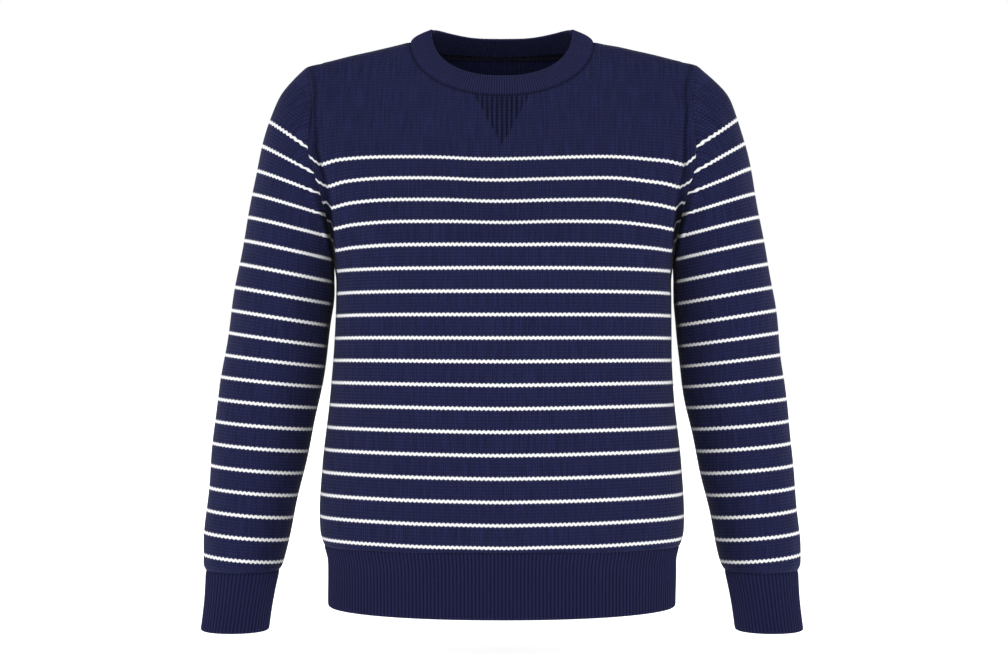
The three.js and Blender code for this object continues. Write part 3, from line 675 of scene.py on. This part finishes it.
def body_panel(face, material):
    points, top = panel_grid(face)
    x, z = points[..., 0], points[..., 2]
    stripe = stripe_number(course_level(face, x, z))
    uv = cloth_uv(knit_across(across_length(face, x, z), x), stripe)

    normals = grid_normals(points, False)
    from_left = lengths_along(points, 1)
    to_side = np.minimum(from_left, from_left[:, -1:] - from_left)
    climb_up = lengths_along(points, 0)
    to_top = climb_up[-1:] - climb_up
    above_underarm = smooth_step(UNDERARM_Z - UNDERARM_BLEND, UNDERARM_Z + UNDERARM_BLEND, z)
    top_x, top_z = top[None, :, 0], top[None, :, 1]
    at_neck = smooth_step(NECK_HALF_WIDTH + NECK_BLEND, NECK_HALF_WIDTH - NECK_BLEND, np.abs(top_x))
    side_groove = lerp(groove(to_side, SIDE_GROOVE), groove(to_side, ARMHOLE_GROOVE), above_underarm)
    top_groove = lerp(groove(to_top, SIDE_GROOVE), groove(to_top, NECK_GROOVE), at_neck)
    pressed = np.maximum(np.maximum(side_groove, top_groove), groove(climb_up, HEM_GROOVE))
    # Painted shade along the neck seam, in the insert's valleys, in the crease and its tuck in front,
    # and along the armhole seam at the back
    shade = NECK_SEAM_SHADE * bump(to_top, NECK_SHADE_WIDTHS["panel"]) * at_neck
    if face == "front":
        valley = insert_valley(top_x, top_z - z)
        pressed = pressed + valley
        shade = np.maximum(shade, INSERT_SHADE * valley / INSERT_RIB_HEIGHT)
        shade = np.maximum(shade, crease_shade(x, z))
    else:
        seam = ARMHOLE_SEAM_SHADE * bump(to_side, SEAM_SHADE_WIDTH)
        shade = np.maximum(shade, seam * above_underarm)
    height, length, margin = BODY_RIPPLE
    settle = smooth_step(0, margin, to_side) * smooth_step(0, margin, to_top)
    pressed = pressed + height * ripple(x, z, length, RIPPLE_TURN[face]) * settle
    outer = points - normals * pressed[..., None]

    inward = normals.copy()
    inward[0, :, 2] = 0
    seam_plane = np.abs(points[..., 1]) < ON_SEAM
    inward[seam_plane, 1] = 0
    on_shoulder = seam_plane[-1]
    inward[-1, on_shoulder, 0] = SHOULDER_SLOPE * np.sign(x[-1, on_shoulder])
    inward[-1, on_shoulder, 2] = 1
    inner = points - normalized(inward) * WALL
    pull_back(inner[-1], inner[-2], SEAM_SETBACK)
    pull_back(inner[:, 0], inner[:, 1], SEAM_SETBACK)
    pull_back(inner[:, -1], inner[:, -2], SEAM_SETBACK)
    # The panels' inside gets a lighter painted shade
    piece = shell(f"{face}_panel", outer, inner, uv, uv, False, material, shade, PANEL_INSIDE_SHADE)
    return dress(piece, face)


def section_ring(section, angle):
    """Points round a sleeve's section: 0 is the outer edge, a quarter turn the front."""
    outer_x, outer_z, inner_x, inner_z, half_depth = section
    middle_x, middle_z = (outer_x + inner_x) / 2, (outer_z + inner_z) / 2
    half_x, half_z = (outer_x - inner_x) / 2, (outer_z - inner_z) / 2
    x = middle_x + half_x * np.cos(angle)
    z = middle_z + half_z * np.cos(angle)
    return np.stack([x, -half_depth * np.sin(angle), z], axis=-1)


def armhole_loop(columns):
    """The armhole seam from the underarm up the front and down the back."""
    turn = np.arange(columns) / columns
    in_front = turn < 0.5
    z = armhole_level(np.where(in_front, 2 * turn, 2 - 2 * turn))
    x = side_seam(z)
    y = np.where(in_front, panel_depth("front", x, z), panel_depth("back", x, z))
    return np.stack([x, y, z], axis=-1)


def sleeve_stripe(x, z):
    """Stripe number of a sleeve point, found by halving."""
    low = np.full(x.shape, float(SLEEVE_STRIPE_Z[0][0]))
    high = np.full(x.shape, float(SLEEVE_STRIPE_Z[-1][0]))
    for _ in range(HALVINGS):
        middle = (low + high) / 2
        slope = table_curve(SLEEVE_STRIPE_SLOPE, middle)
        above = table_curve(SLEEVE_STRIPE_Z, middle) + slope * (x - SLEEVE_STRIPE_X) > z
        low = np.where(above, middle, low)
        high = np.where(above, high, middle)
    return (low + high) / 2


def sleeve_points():
    """Outer surface of the sleeve on the +X side: rows from the armhole to the cuff, columns
    from the underarm up the front."""
    along = np.linspace(0, 1, SLEEVE_ROWS + 1)
    numbers = np.arange(len(SLEEVE_SECTIONS))
    angle = math.pi * (1 - 2 * np.arange(SLEEVE_COLUMNS) / SLEEVE_COLUMNS)
    section = [
        table_curve(np.stack([numbers, measure], axis=-1), along * numbers[-1])[:, None]
        for measure in zip(*SLEEVE_SECTIONS)
    ]
    points = section_ring(section, angle[None, :])
    off_section = armhole_loop(SLEEVE_COLUMNS) - section_ring(SLEEVE_SECTIONS[0], angle)
    keep = np.maximum(0, 1 - along / SEAM_SHAPE_REACH) ** 2
    points = points + off_section[None] * keep[:, None, None]
    around = np.degrees(angle) % 360
    fold = np.zeros(points.shape[:2])
    for fold_along, fold_around, depth, length, spread in SLEEVE_FOLDS:
        tilt = ((around - fold_around) / spread)[None, :]
        off_fold = along[:, None] - fold_along - FOLD_TILT * tilt
        fold += depth * bump(off_fold, length) * bump(tilt, 1)
    middle = points.mean(axis=1, keepdims=True)
    return points + normalized(middle - points) * fold[..., None]


def sleeve_shade(points, from_armhole):
    """Painted shade at the sleeve's seam, in the tuck behind the front's crease and on the side
    that faces the body, darkest at its edge against the body."""
    in_front = points[..., 1] < 0
    z = points[..., 2]
    seam_shown = np.where(in_front, smooth_step(*SLEEVE_SEAM_LEVELS, z), 1)
    seam = ARMHOLE_SEAM_SHADE * bump(from_armhole, SEAM_SHADE_WIDTH) * seam_shown
    tuck = table_curve(TUCK_SHADE, z) * smooth_step(*TUCK_SPANS["sleeve"], from_armhole) * in_front
    aside = np.abs(points[..., 0])
    to_body = aside.max(axis=1, keepdims=True) - aside
    to_body = to_body / to_body.max(axis=1, keepdims=True)
    facing = SLEEVE_INNER_SHADE * smooth_step(*SLEEVE_INNER_SPAN, to_body)
    edge = table_curve(SLEEVE_EDGE_SHADE, z) * smooth_step(*SLEEVE_EDGE_SPAN, to_body)
    return np.maximum.reduce([seam, tuck, facing, edge])


def sleeve(side, material):
    points = sleeve_points()
    raised = np.zeros(points.shape[:2])
    if side == "left":
        share = lerp(*LEFT_RAISE_SHARE, smooth_step(*LEFT_RAISE_SPAN, points[..., 0]))
        raised = table_curve(LEFT_STRIPE_RAISE, points[..., 2]) * share
    stripe = sleeve_stripe(points[..., 0], points[..., 2] - raised)
    wrapped = np.concatenate([points, points[:, :1]], axis=1)
    across = lengths_along(wrapped, 1)
    across = across - across[:, SLEEVE_COLUMNS // 2][:, None]
    outer_x = wrapped[:, SLEEVE_COLUMNS // 2, 0][:, None]
    across = knit_across(across, np.sign(across) * (outer_x - wrapped[..., 0]))
    stripe = np.concatenate([stripe, stripe[:, :1]], axis=1)
    uv = cloth_uv(across, stripe)

    if side == "left":
        points = np.roll(points[:, ::-1], 1, axis=1)
        uv = uv[:, ::-1]
    else:
        points = points * np.array([-1, 1, 1])
        uv = uv * np.array([-1, 1])
    normals = grid_normals(points, True)
    inward = normals.copy()
    inward[-1, :, 2] = 0
    from_armhole = lengths_along(points, 0)
    to_cuff = from_armhole[-1:] - from_armhole
    pressed = np.maximum(groove(from_armhole, ARMHOLE_GROOVE), groove(to_cuff, HEM_GROOVE))
    height, length, margin = SLEEVE_RIPPLE
    settle = smooth_step(0, margin, from_armhole) * smooth_step(0, margin, to_cuff)
    waves = ripple(points[..., 1], points[..., 2], length, RIPPLE_TURN[side])
    pressed = pressed + height * waves * settle
    outer = points - normals * pressed[..., None]
    inner = points - normalized(inward) * WALL
    pull_back(inner[0], inner[1], SEAM_SETBACK)
    shade = sleeve_shade(points, from_armhole)
    piece = shell(f"sleeve_{side}_cloth", outer, inner, uv, uv, True, material, shade)
    return dress(piece, f"sleeve_{side}")


def dress(piece, node):
    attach(piece, "root")
    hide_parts(node)
    return piece


def rib_valley(ribs):
    """How far the knit sinks between ribs, 0 on a rib and 1 in the valley, by rib count."""
    return 1 - np.abs(np.sin(math.pi * ribs)) ** VALLEY_POWER


def even_angles(curve, start, stop, count):
    """Angles that divide a curve into equal lengths."""
    samples = np.linspace(start, stop, 2001)
    points = curve(samples)
    lengths = np.concatenate([[0], np.cumsum(np.linalg.norm(np.diff(points, axis=0), axis=1))])
    return np.interp(np.linspace(0, lengths[-1], count + 1), lengths, samples)


def rib_uv(ribs, down, closed):
    """Cloth coordinates of ribbing: ribs across at their nominal pitch, length along the ribs."""
    u = np.broadcast_to(ribs[None, :] * RIB_PITCH * MM, down.shape)
    uv = np.stack([u, down * MM], axis=-1)
    if not closed:
        return uv
    last = uv[:, :1].copy()
    last[..., 0] = (2 * ribs[-1] - ribs[-2]) * RIB_PITCH * MM
    return np.concatenate([uv, last], axis=1)


def hem_half(face, material):
    side = -1 if face == "front" else 1
    count = RIB_COLUMNS * HEM_RIBS_PER_HALF

    def line(angle, z):
        x = -side * side_seam(z) * super_sin(angle, SECTION_POWER)
        return np.stack([x, panel_depth(face, x, z), np.broadcast_to(z, x.shape)], axis=-1)

    angles = even_angles(lambda angle: line(angle, HEM_BOTTOM), -math.pi / 2, math.pi / 2, count)
    points = line(angles, np.array(HEM_LEVELS)[:, None])
    normals = level_normals(points, False)
    ribs = np.arange(count + 1) / RIB_COLUMNS
    sunk = HEM_RIB_HEIGHT * rib_valley(ribs)[None, :]
    from_top = points[-1:, :, 2] - points[..., 2]
    height, length = HEM_RIPPLE
    waves = ripple(points[..., 0], points[..., 2], length, HEM_RIPPLE_TURN[face])
    pressed = sunk + groove(from_top, HEM_GROOVE) + height * waves
    pressed = pressed + groove(points[..., 2] - HEM_BOTTOM, EDGE_GROOVE)
    outer = points - normals * pressed[..., None]
    inner = points - normals * (WALL + HEM_RIB_HEIGHT - INNER_RIB_SHARE * sunk)[..., None]
    edge = (outer[:1] + inner[:1]) / 2 - EDGE_DROP
    inner_edge = (outer[:1] + inner[:1] * 3) / 4 - EDGE_DROP * 0.7
    outer = np.concatenate([edge, outer])
    inner = np.concatenate([inner_edge, inner])
    for grid in (outer, inner):
        sag = HEM_SAG[face] * (1 - (grid[..., 0] / side_seam(HEM_BOTTOM)) ** 2)
        grid[..., 2] -= sag * smooth_step(HEM_SAG_TOP, HEM_BOTTOM, grid[..., 2])
    down = np.concatenate([[HEM_BOTTOM - 1], HEM_LEVELS])[:, None]
    uv = rib_uv(ribs, np.broadcast_to(down, outer.shape[:2]), False)
    piece = shell(f"hem_{face}_rib", outer, inner, uv, uv, False, material)
    return dress(piece, f"hem_{face}")


def cuff(side, material):
    count = RIB_COLUMNS * CUFF_RIBS
    angle = math.pi * (1 - 2 * np.arange(count) / count)
    top, bottom = np.array(SLEEVE_SECTIONS[-1]), np.array(CUFF_BOTTOM)
    points = np.stack([section_ring(lerp(bottom, top, step), angle) for step in CUFF_STEPS])
    if side == "right":
        points = points[:, ::-1] * np.array([-1, 1, 1])
    normals = level_normals(points, True)
    ribs = np.arange(count) / RIB_COLUMNS
    sunk = CUFF_RIB_HEIGHT * rib_valley(ribs)[None, :]
    from_top = points[-1:, :, 2] - points[..., 2]
    waist = CUFF_WAIST * np.sin(math.pi * np.array(CUFF_STEPS))[:, None]
    pressed = sunk + waist + groove(from_top, HEM_GROOVE)
    pressed = pressed + groove(points[..., 2] - points[:1, :, 2], EDGE_GROOVE)
    outer = points - normals * pressed[..., None]
    thickness = WALL + CUFF_RIB_HEIGHT + waist - INNER_RIB_SHARE * sunk
    inner = points - normals * thickness[..., None]
    edge = (outer[:1] + inner[:1]) / 2 - EDGE_DROP
    outer = np.concatenate([edge, outer])
    down = np.concatenate([points[:1, :, 2] - 1, points[..., 2]])
    uv = rib_uv(ribs, down, True)
    piece = shell(f"cuff_{side}_rib", outer, inner, uv, uv[1:], True, material)
    return dress(piece, f"cuff_{side}")


def neck_seam(angle, outside=0.0):
    """Neck seam all round, or a line on the panels outside it: 0 is the middle of the front,
    a quarter turn the left shoulder."""
    in_front = np.cos(angle) > 0
    curves = {}
    for face in ("front", "back"):
        drop, power = NECK[face]
        x = (NECK_HALF_WIDTH + outside) * super_sin(angle, power)
        z = -(drop + outside) * np.abs(super_cos(angle, power))
        curves[face] = np.stack([x, panel_depth(face, x, z), z], axis=-1)
    return np.where(in_front[..., None], curves["front"], curves["back"])


def band_fold(angle):
    in_front = np.cos(angle) > 0
    to_middle = np.abs(super_cos(angle, BAND_TOP_POWER))
    x = BAND_TOP_HALF_WIDTH * super_sin(angle, BAND_TOP_POWER)
    y = np.where(in_front, -BAND_TOP_DEPTH["front"] * to_middle, BAND_TOP_DEPTH["back"] * to_middle)
    aside = np.abs(super_sin(angle, BAND_TOP_POWER))
    drop, power = BAND_FRONT_DROP
    front_fall = drop * np.maximum(0, 1 - aside**power) ** (1 / power)
    fall = np.where(in_front, front_fall, table_curve(BAND_BACK_DROP, aside))
    return np.stack([x, y, BAND_TOP_HEIGHT - fall], axis=-1)


def neckband(material):
    """Neckband folded double: up the outside, over the fold and down the inside."""
    count = RIB_COLUMNS * NECK_RIBS
    angles = even_angles(lambda a: (neck_seam(a) + band_fold(a)) / 2, 0, 2 * math.pi, count)[:-1]
    seam, fold = neck_seam(angles), band_fold(angles)
    steps = np.array(BAND_STEPS)[:, None, None]
    flat = lerp(seam[None], fold[None], steps)
    normals = grid_normals(flat, True)
    at_shoulder = np.abs(np.sin(angles)) ** SHOULDER_POWER
    fullness = BAND_BULGE + BAND_SHOULDER_BULGE * at_shoulder[None, :, None]
    bulge = fullness * np.sin(math.pi * steps**BAND_BULGE_POWER)
    outside = flat + normals * bulge
    inside = flat + normals * (bulge * 0.5 - BAND_WALL)
    pull_back(inside[0], inside[1], 1.0)
    turn = math.pi * np.arange(1, BAND_CREST_STEPS) / BAND_CREST_STEPS
    turn = turn[:, None, None]
    half_wall = normals[-1:] * BAND_WALL / 2
    middle = fold[None] - half_wall
    rise = normalized(fold - seam)[None] * BAND_CREST
    crest = middle + half_wall * np.cos(turn) + rise * np.sin(turn)

    ribs = np.arange(count) / RIB_COLUMNS
    valley = rib_valley(ribs)[None, :, None]
    along = np.array(BAND_STEPS) * BAND_WIDTH
    outside = outside - normals * (NECK_RIB_HEIGHT * valley + groove(along, BAND_GROOVE)[:, None, None])
    crest = crest - (crest - middle) * CREST_RIB_SHARE * valley
    inside = inside + normals * NECK_RIB_HEIGHT * INSIDE_RIB_SHARE * valley

    under = neck_seam(angles, SEAM_ALLOWANCE)
    panel_normals = grid_normals(np.stack([under, seam]), True)
    upper_depth, lower_depth = ALLOWANCE_DEPTHS
    allowance = np.stack([under, seam]) - panel_normals * (WALL + upper_depth)
    allowance_back = under[None] - panel_normals[:1] * (WALL + lower_depth)
    for row in (allowance[0], allowance_back[0]):
        row[:, 2] -= SHOULDER_TUCK * at_shoulder
    outer = np.concatenate([allowance, outside, crest])
    inner = np.concatenate([allowance_back, inside])
    over_fold = BAND_WIDTH + np.arange(1, BAND_CREST_STEPS) * BAND_CREST_ROW
    down = np.concatenate([[-SEAM_ALLOWANCE, 0], along, over_fold])
    uv = rib_uv(ribs, np.broadcast_to(down[:, None], outer.shape[:2]), True)
    cut_width = 2 * BAND_WIDTH + BAND_CREST_STEPS * BAND_CREST_ROW
    inner_down = cut_width - np.concatenate([[-SEAM_ALLOWANCE], along])
    inner_uv = rib_uv(ribs, np.broadcast_to(inner_down[:, None], inner.shape[:2]), True)
    from_seam = np.concatenate([[0, 0], along, np.full(BAND_CREST_STEPS - 1, BAND_WIDTH)])
    # Painted shade along the neck seam; the band's inside gets the painted inside shade
    shade = NECK_SEAM_SHADE * bump(from_seam, NECK_SHADE_WIDTHS["band"])[:, None]
    shade = np.broadcast_to(shade, outer.shape[:2])
    piece = shell("neckband_rib", outer, inner, uv, inner_uv, True, material, shade)
    return dress(piece, "neckband")


def set_inputs(node, values):
    for name, value in values.items():
        node.inputs[name].default_value = value


class Cloth:
    """One cloth material built node by node; numbers and node outputs can be mixed."""

    def __init__(self, name):
        self.material = bpy.data.materials.new(name)
        self.material.use_nodes = True
        self.tree = self.material.node_tree
        self.shader = self.tree.nodes["Principled BSDF"]
        uv = self.tree.nodes.new("ShaderNodeUVMap")
        uv.uv_map = "cloth"
        split = self.tree.nodes.new("ShaderNodeSeparateXYZ")
        self.tree.links.new(uv.outputs[0], split.inputs[0])
        self.uv, self.u, self.v = uv.outputs[0], split.outputs[0], split.outputs[1]

    def put(self, socket, value):
        if isinstance(value, bpy.types.NodeSocket):
            self.tree.links.new(value, socket)
        else:
            socket.default_value = value

    def math(self, operation, *values):
        node = self.tree.nodes.new("ShaderNodeMath")
        node.operation = operation
        for socket, value in zip(node.inputs, values):
            self.put(socket, value)
        return node.outputs[0]

    def times(self, first, second):
        return self.math("MULTIPLY", first, second)

    def span(self, value, low, high, to_low, to_high):
        """value's place between low and high, carried to between to_low and to_high."""
        node = self.tree.nodes.new("ShaderNodeMapRange")
        for socket, part in zip(node.inputs, (value, low, high, to_low, to_high)):
            self.put(socket, part)
        return node.outputs[0]

    def mix(self, share, low, high, blend="MIX"):
        node = self.tree.nodes.new("ShaderNodeMix")
        node.data_type = "RGBA"
        node.blend_type = blend
        self.put(node.inputs[0], share)
        self.put(node.inputs[6], low)
        self.put(node.inputs[7], high)
        return node.outputs[2]

    def noise(self, cells_per_metre, stretch, detail=2.0):
        """Noise from 0 to 1 over the cloth, stretched along the wales."""
        mapping = self.tree.nodes.new("ShaderNodeMapping")
        self.put(mapping.inputs["Vector"], self.uv)
        set_inputs(mapping, {"Scale": (cells_per_metre, cells_per_metre / stretch, 1)})
        node = self.tree.nodes.new("ShaderNodeTexNoise")
        set_inputs(node, {"Scale": 1.0, "Detail": detail})
        self.put(node.inputs["Vector"], mapping.outputs[0])
        return node.outputs[0]

    def shaded(self, color):
        """The colour, darkened by the painted shade in the pieces' shade attribute, where the cloth
        turns into a seam or fold, on its inside and where it lies against the body.
        """
        node = self.tree.nodes.new("ShaderNodeAttribute")
        node.attribute_name = "shade"
        return self.mix(1.0, color, self.math("SUBTRACT", 1.0, node.outputs["Fac"]), "MULTIPLY")

    def bump(self, height, strength, distance):
        node = self.tree.nodes.new("ShaderNodeBump")
        set_inputs(node, {"Strength": strength, "Distance": distance})
        self.put(node.inputs["Height"], height)
        self.put(self.shader.inputs["Normal"], node.outputs[0])


NAVY = (0.013, 0.015, 0.0535, 1)
NAVY_RIB = (0.0118, 0.0128, 0.047, 1)
NECK_NAVY = (0.0148, 0.0162, 0.057, 1)
WHITE = (0.84, 0.84, 0.86, 1)

# How far a stitch's legs slant, in courses, and where a white course ends, from its middle
LEG_SLANT = 0.85
WHITE_EDGE = (0.43, 0.51)

MATT = {
    "Roughness": 0.92,
    "Specular IOR Level": 0.05,
    "Sheen Weight": 0.06,
    "Sheen Roughness": 0.45,
    "Sheen Tint": (0.75, 0.78, 1.0, 1),
}


def striped_knit(name, stripes):
    """Stocking stitch in navy, every seventh course white from the first stripe to the last."""
    cloth = Cloth(name)
    wale = cloth.math("DIVIDE", cloth.u, WALE * MM)
    off_centre = cloth.math("ABSOLUTE", cloth.math("SUBTRACT", cloth.math("FRACT", wale), 0.5))
    course = cloth.math("DIVIDE", cloth.v, STRIPE_PITCH / COURSES_PER_STRIPE * MM)
    lift = cloth.times(cloth.math("SUBTRACT", off_centre, 0.25), LEG_SLANT)
    stitch = cloth.math("SUBTRACT", course, lift)

    leg = cloth.math("POWER", cloth.math("SINE", cloth.times(off_centre, 2 * math.pi)), 0.6)
    wave = cloth.math("COSINE", cloth.times(stitch, 2 * math.pi))
    plump = cloth.span(wave, -1, 1, 0.35, 1)
    height = cloth.times(leg, plump)

    half = COURSES_PER_STRIPE / 2
    from_stripe = cloth.math("ABSOLUTE", cloth.math("WRAP", stitch, half, -half))
    white = cloth.span(from_stripe, *WHITE_EDGE, 1, 0)
    below_first = cloth.math("LESS_THAN", cloth.v, -0.5 * STRIPE_PITCH * MM)
    above_last = cloth.math("GREATER_THAN", cloth.v, -(stripes + 0.5) * STRIPE_PITCH * MM)
    white = cloth.times(cloth.times(white, below_first), above_last)

    streak = cloth.noise(420, 14)
    fleck = cloth.noise(900, 1.6, 3)
    streaks = cloth.span(streak, 0.3, 0.7, 0.75, 1.25)
    flecks = cloth.span(fleck, 0.3, 0.7, 0.75, 1.25)
    # shade: painted shade, darker in the stitches' valleys than on their tops, times random streaks and
    # flecks of tone
    shade = cloth.times(cloth.span(height, 0, 1, 0.5, 1.2), streaks)
    shade = cloth.times(shade, flecks)
    dark = cloth.mix(1.0, NAVY, shade, "MULTIPLY")
    # The white is given painted shade in the stitches' valleys too
    light = cloth.mix(1.0, WHITE, cloth.span(height, 0, 1, 0.7, 1.05), "MULTIPLY")
    cloth.put(cloth.shader.inputs["Base Color"], cloth.shaded(cloth.mix(white, dark, light)))
    cloth.bump(cloth.math("ADD", height, cloth.times(fleck, 0.25)), 0.6, 0.001)
    set_inputs(cloth.shader, MATT)
    return cloth.material


def rib_knit(name, color):
    """One-by-one rib: narrow columns of stitches, with painted shade in the valleys between them and
    between the courses.
    """
    cloth = Cloth(name)
    rib = cloth.math("FRACT", cloth.math("DIVIDE", cloth.u, RIB_PITCH * MM))
    off_centre = cloth.math("ABSOLUTE", cloth.math("SUBTRACT", rib, 0.5))
    stitch = cloth.math("SUBTRACT", cloth.math("DIVIDE", cloth.v, RIB_COURSE * MM), off_centre)
    wave = cloth.math("COSINE", cloth.times(stitch, 2 * math.pi))
    plump = cloth.span(wave, -1, 1, 0.55, 1)
    ridge = cloth.math("COSINE", cloth.times(off_centre, math.pi))
    height = cloth.times(ridge, plump)
    fleck = cloth.noise(900, 2, 3)
    stitches = cloth.span(plump, 0.55, 1, 0.9, 1.05)
    flecks = cloth.span(fleck, 0.25, 0.75, 0.9, 1.1)
    # Painted shade in the valleys between ribs and between courses, times random flecks of tone
    shade = cloth.times(cloth.span(ridge, 0, 1, 0.45, 1.1), stitches)
    shade = cloth.times(shade, flecks)
    shaded = cloth.shaded(cloth.mix(1.0, color, shade, "MULTIPLY"))
    cloth.put(cloth.shader.inputs["Base Color"], shaded)
    cloth.bump(cloth.math("ADD", height, cloth.times(fleck, 0.2)), 0.4, 0.0007)
    set_inputs(cloth.shader, MATT)
    return cloth.material


def level_camera(name, location):
    camera = bpy.data.objects.new(name, bpy.data.cameras.new(name))
    camera.location = location
    camera.rotation_euler = (math.pi / 2, 0, 0)
    camera.data.lens = 70
    camera.data.sensor_width = 36
    camera.data.clip_end = 60
    bpy.context.scene.collection.objects.link(camera)
    bpy.context.scene.camera = camera


def soft_light(name, location, size, power, target):
    light = bpy.data.lights.new(name, "AREA")
    light.shape = "DISK"
    light.size = size
    light.energy = power
    lamp = bpy.data.objects.new(name, light)
    lamp.location = location
    lamp.rotation_euler = (Vector(target) - Vector(location)).to_track_quat("-Z", "Y").to_euler()
    bpy.context.scene.collection.objects.link(lamp)


def backdrop_world(behind, in_front):
    """White backdrop behind the jumper, fading to a dimmer room in front of it."""
    world = bpy.data.worlds.new("studio")
    bpy.context.scene.world = world
    world.use_nodes = True
    tree = world.node_tree
    direction = tree.nodes.new("ShaderNodeTexCoord")
    split = tree.nodes.new("ShaderNodeSeparateXYZ")
    fade = tree.nodes.new("ShaderNodeMapRange")
    tree.links.new(direction.outputs["Generated"], split.inputs[0])
    tree.links.new(split.outputs["Y"], fade.inputs["Value"])
    set_inputs(fade, {"From Min": -0.1, "From Max": 0.5, "To Min": in_front, "To Max": behind})
    tree.links.new(fade.outputs[0], tree.nodes["Background"].inputs["Strength"])
    set_inputs(tree.nodes["Background"], {"Color": (1, 1, 1, 1)})


PALE = {
    "Base Color": (0.98, 0.98, 0.98, 1),
    "Roughness": 0.9,
    "Specular IOR Level": 0.0,
    "Emission Color": (1, 1, 1, 1),
    "Emission Strength": 0.85,
}


def pale_floor(level):
    size = 12.0
    mesh = bpy.data.meshes.new("floor")
    corners = [(x * size, y * size, level) for x, y in ((-1, -1), (1, -1), (1, 1), (-1, 1))]
    mesh.from_pydata(corners, [], [(0, 1, 2, 3)])
    material = bpy.data.materials.new("pale_floor")
    material.use_nodes = True
    set_inputs(material.node_tree.nodes["Principled BSDF"], PALE)
    mesh.materials.append(material)
    floor = bpy.data.objects.new("floor", mesh)
    bpy.context.scene.collection.objects.link(floor)


body_knit = striped_knit("striped_knit_body", BODY_STRIPES)
sleeve_knit = striped_knit("striped_knit_sleeves", SLEEVE_STRIPES)
low_rib = rib_knit("rib_knit_hem_and_cuffs", NAVY_RIB)
neck_rib = rib_knit("rib_knit_neckband", NECK_NAVY)

front = body_panel("front", body_knit)
back = body_panel("back", body_knit)
sleeves = [sleeve(side, sleeve_knit) for side in ("left", "right")]
band = neckband(neck_rib)
hems = [hem_half(face, low_rib) for face in ("front", "back")]
cuffs = [cuff(side, low_rib) for side in ("left", "right")]

level_camera("camera", (0.00234, -2.293, -0.344))
soft_light("left", (-2.6, -1.7, 0.9), 1.6, 40, (0, 0, -0.3))
soft_light("right", (2.6, -1.7, 0.9), 1.6, 36, (0, 0, -0.3))
soft_light("above", (0, -1.4, 2.2), 1.6, 16, (0, 0, -0.2))
backdrop_world(1.0, 0.3)
pale_floor(-0.712)
bpy.context.scene.view_settings.view_transform = "Standard"
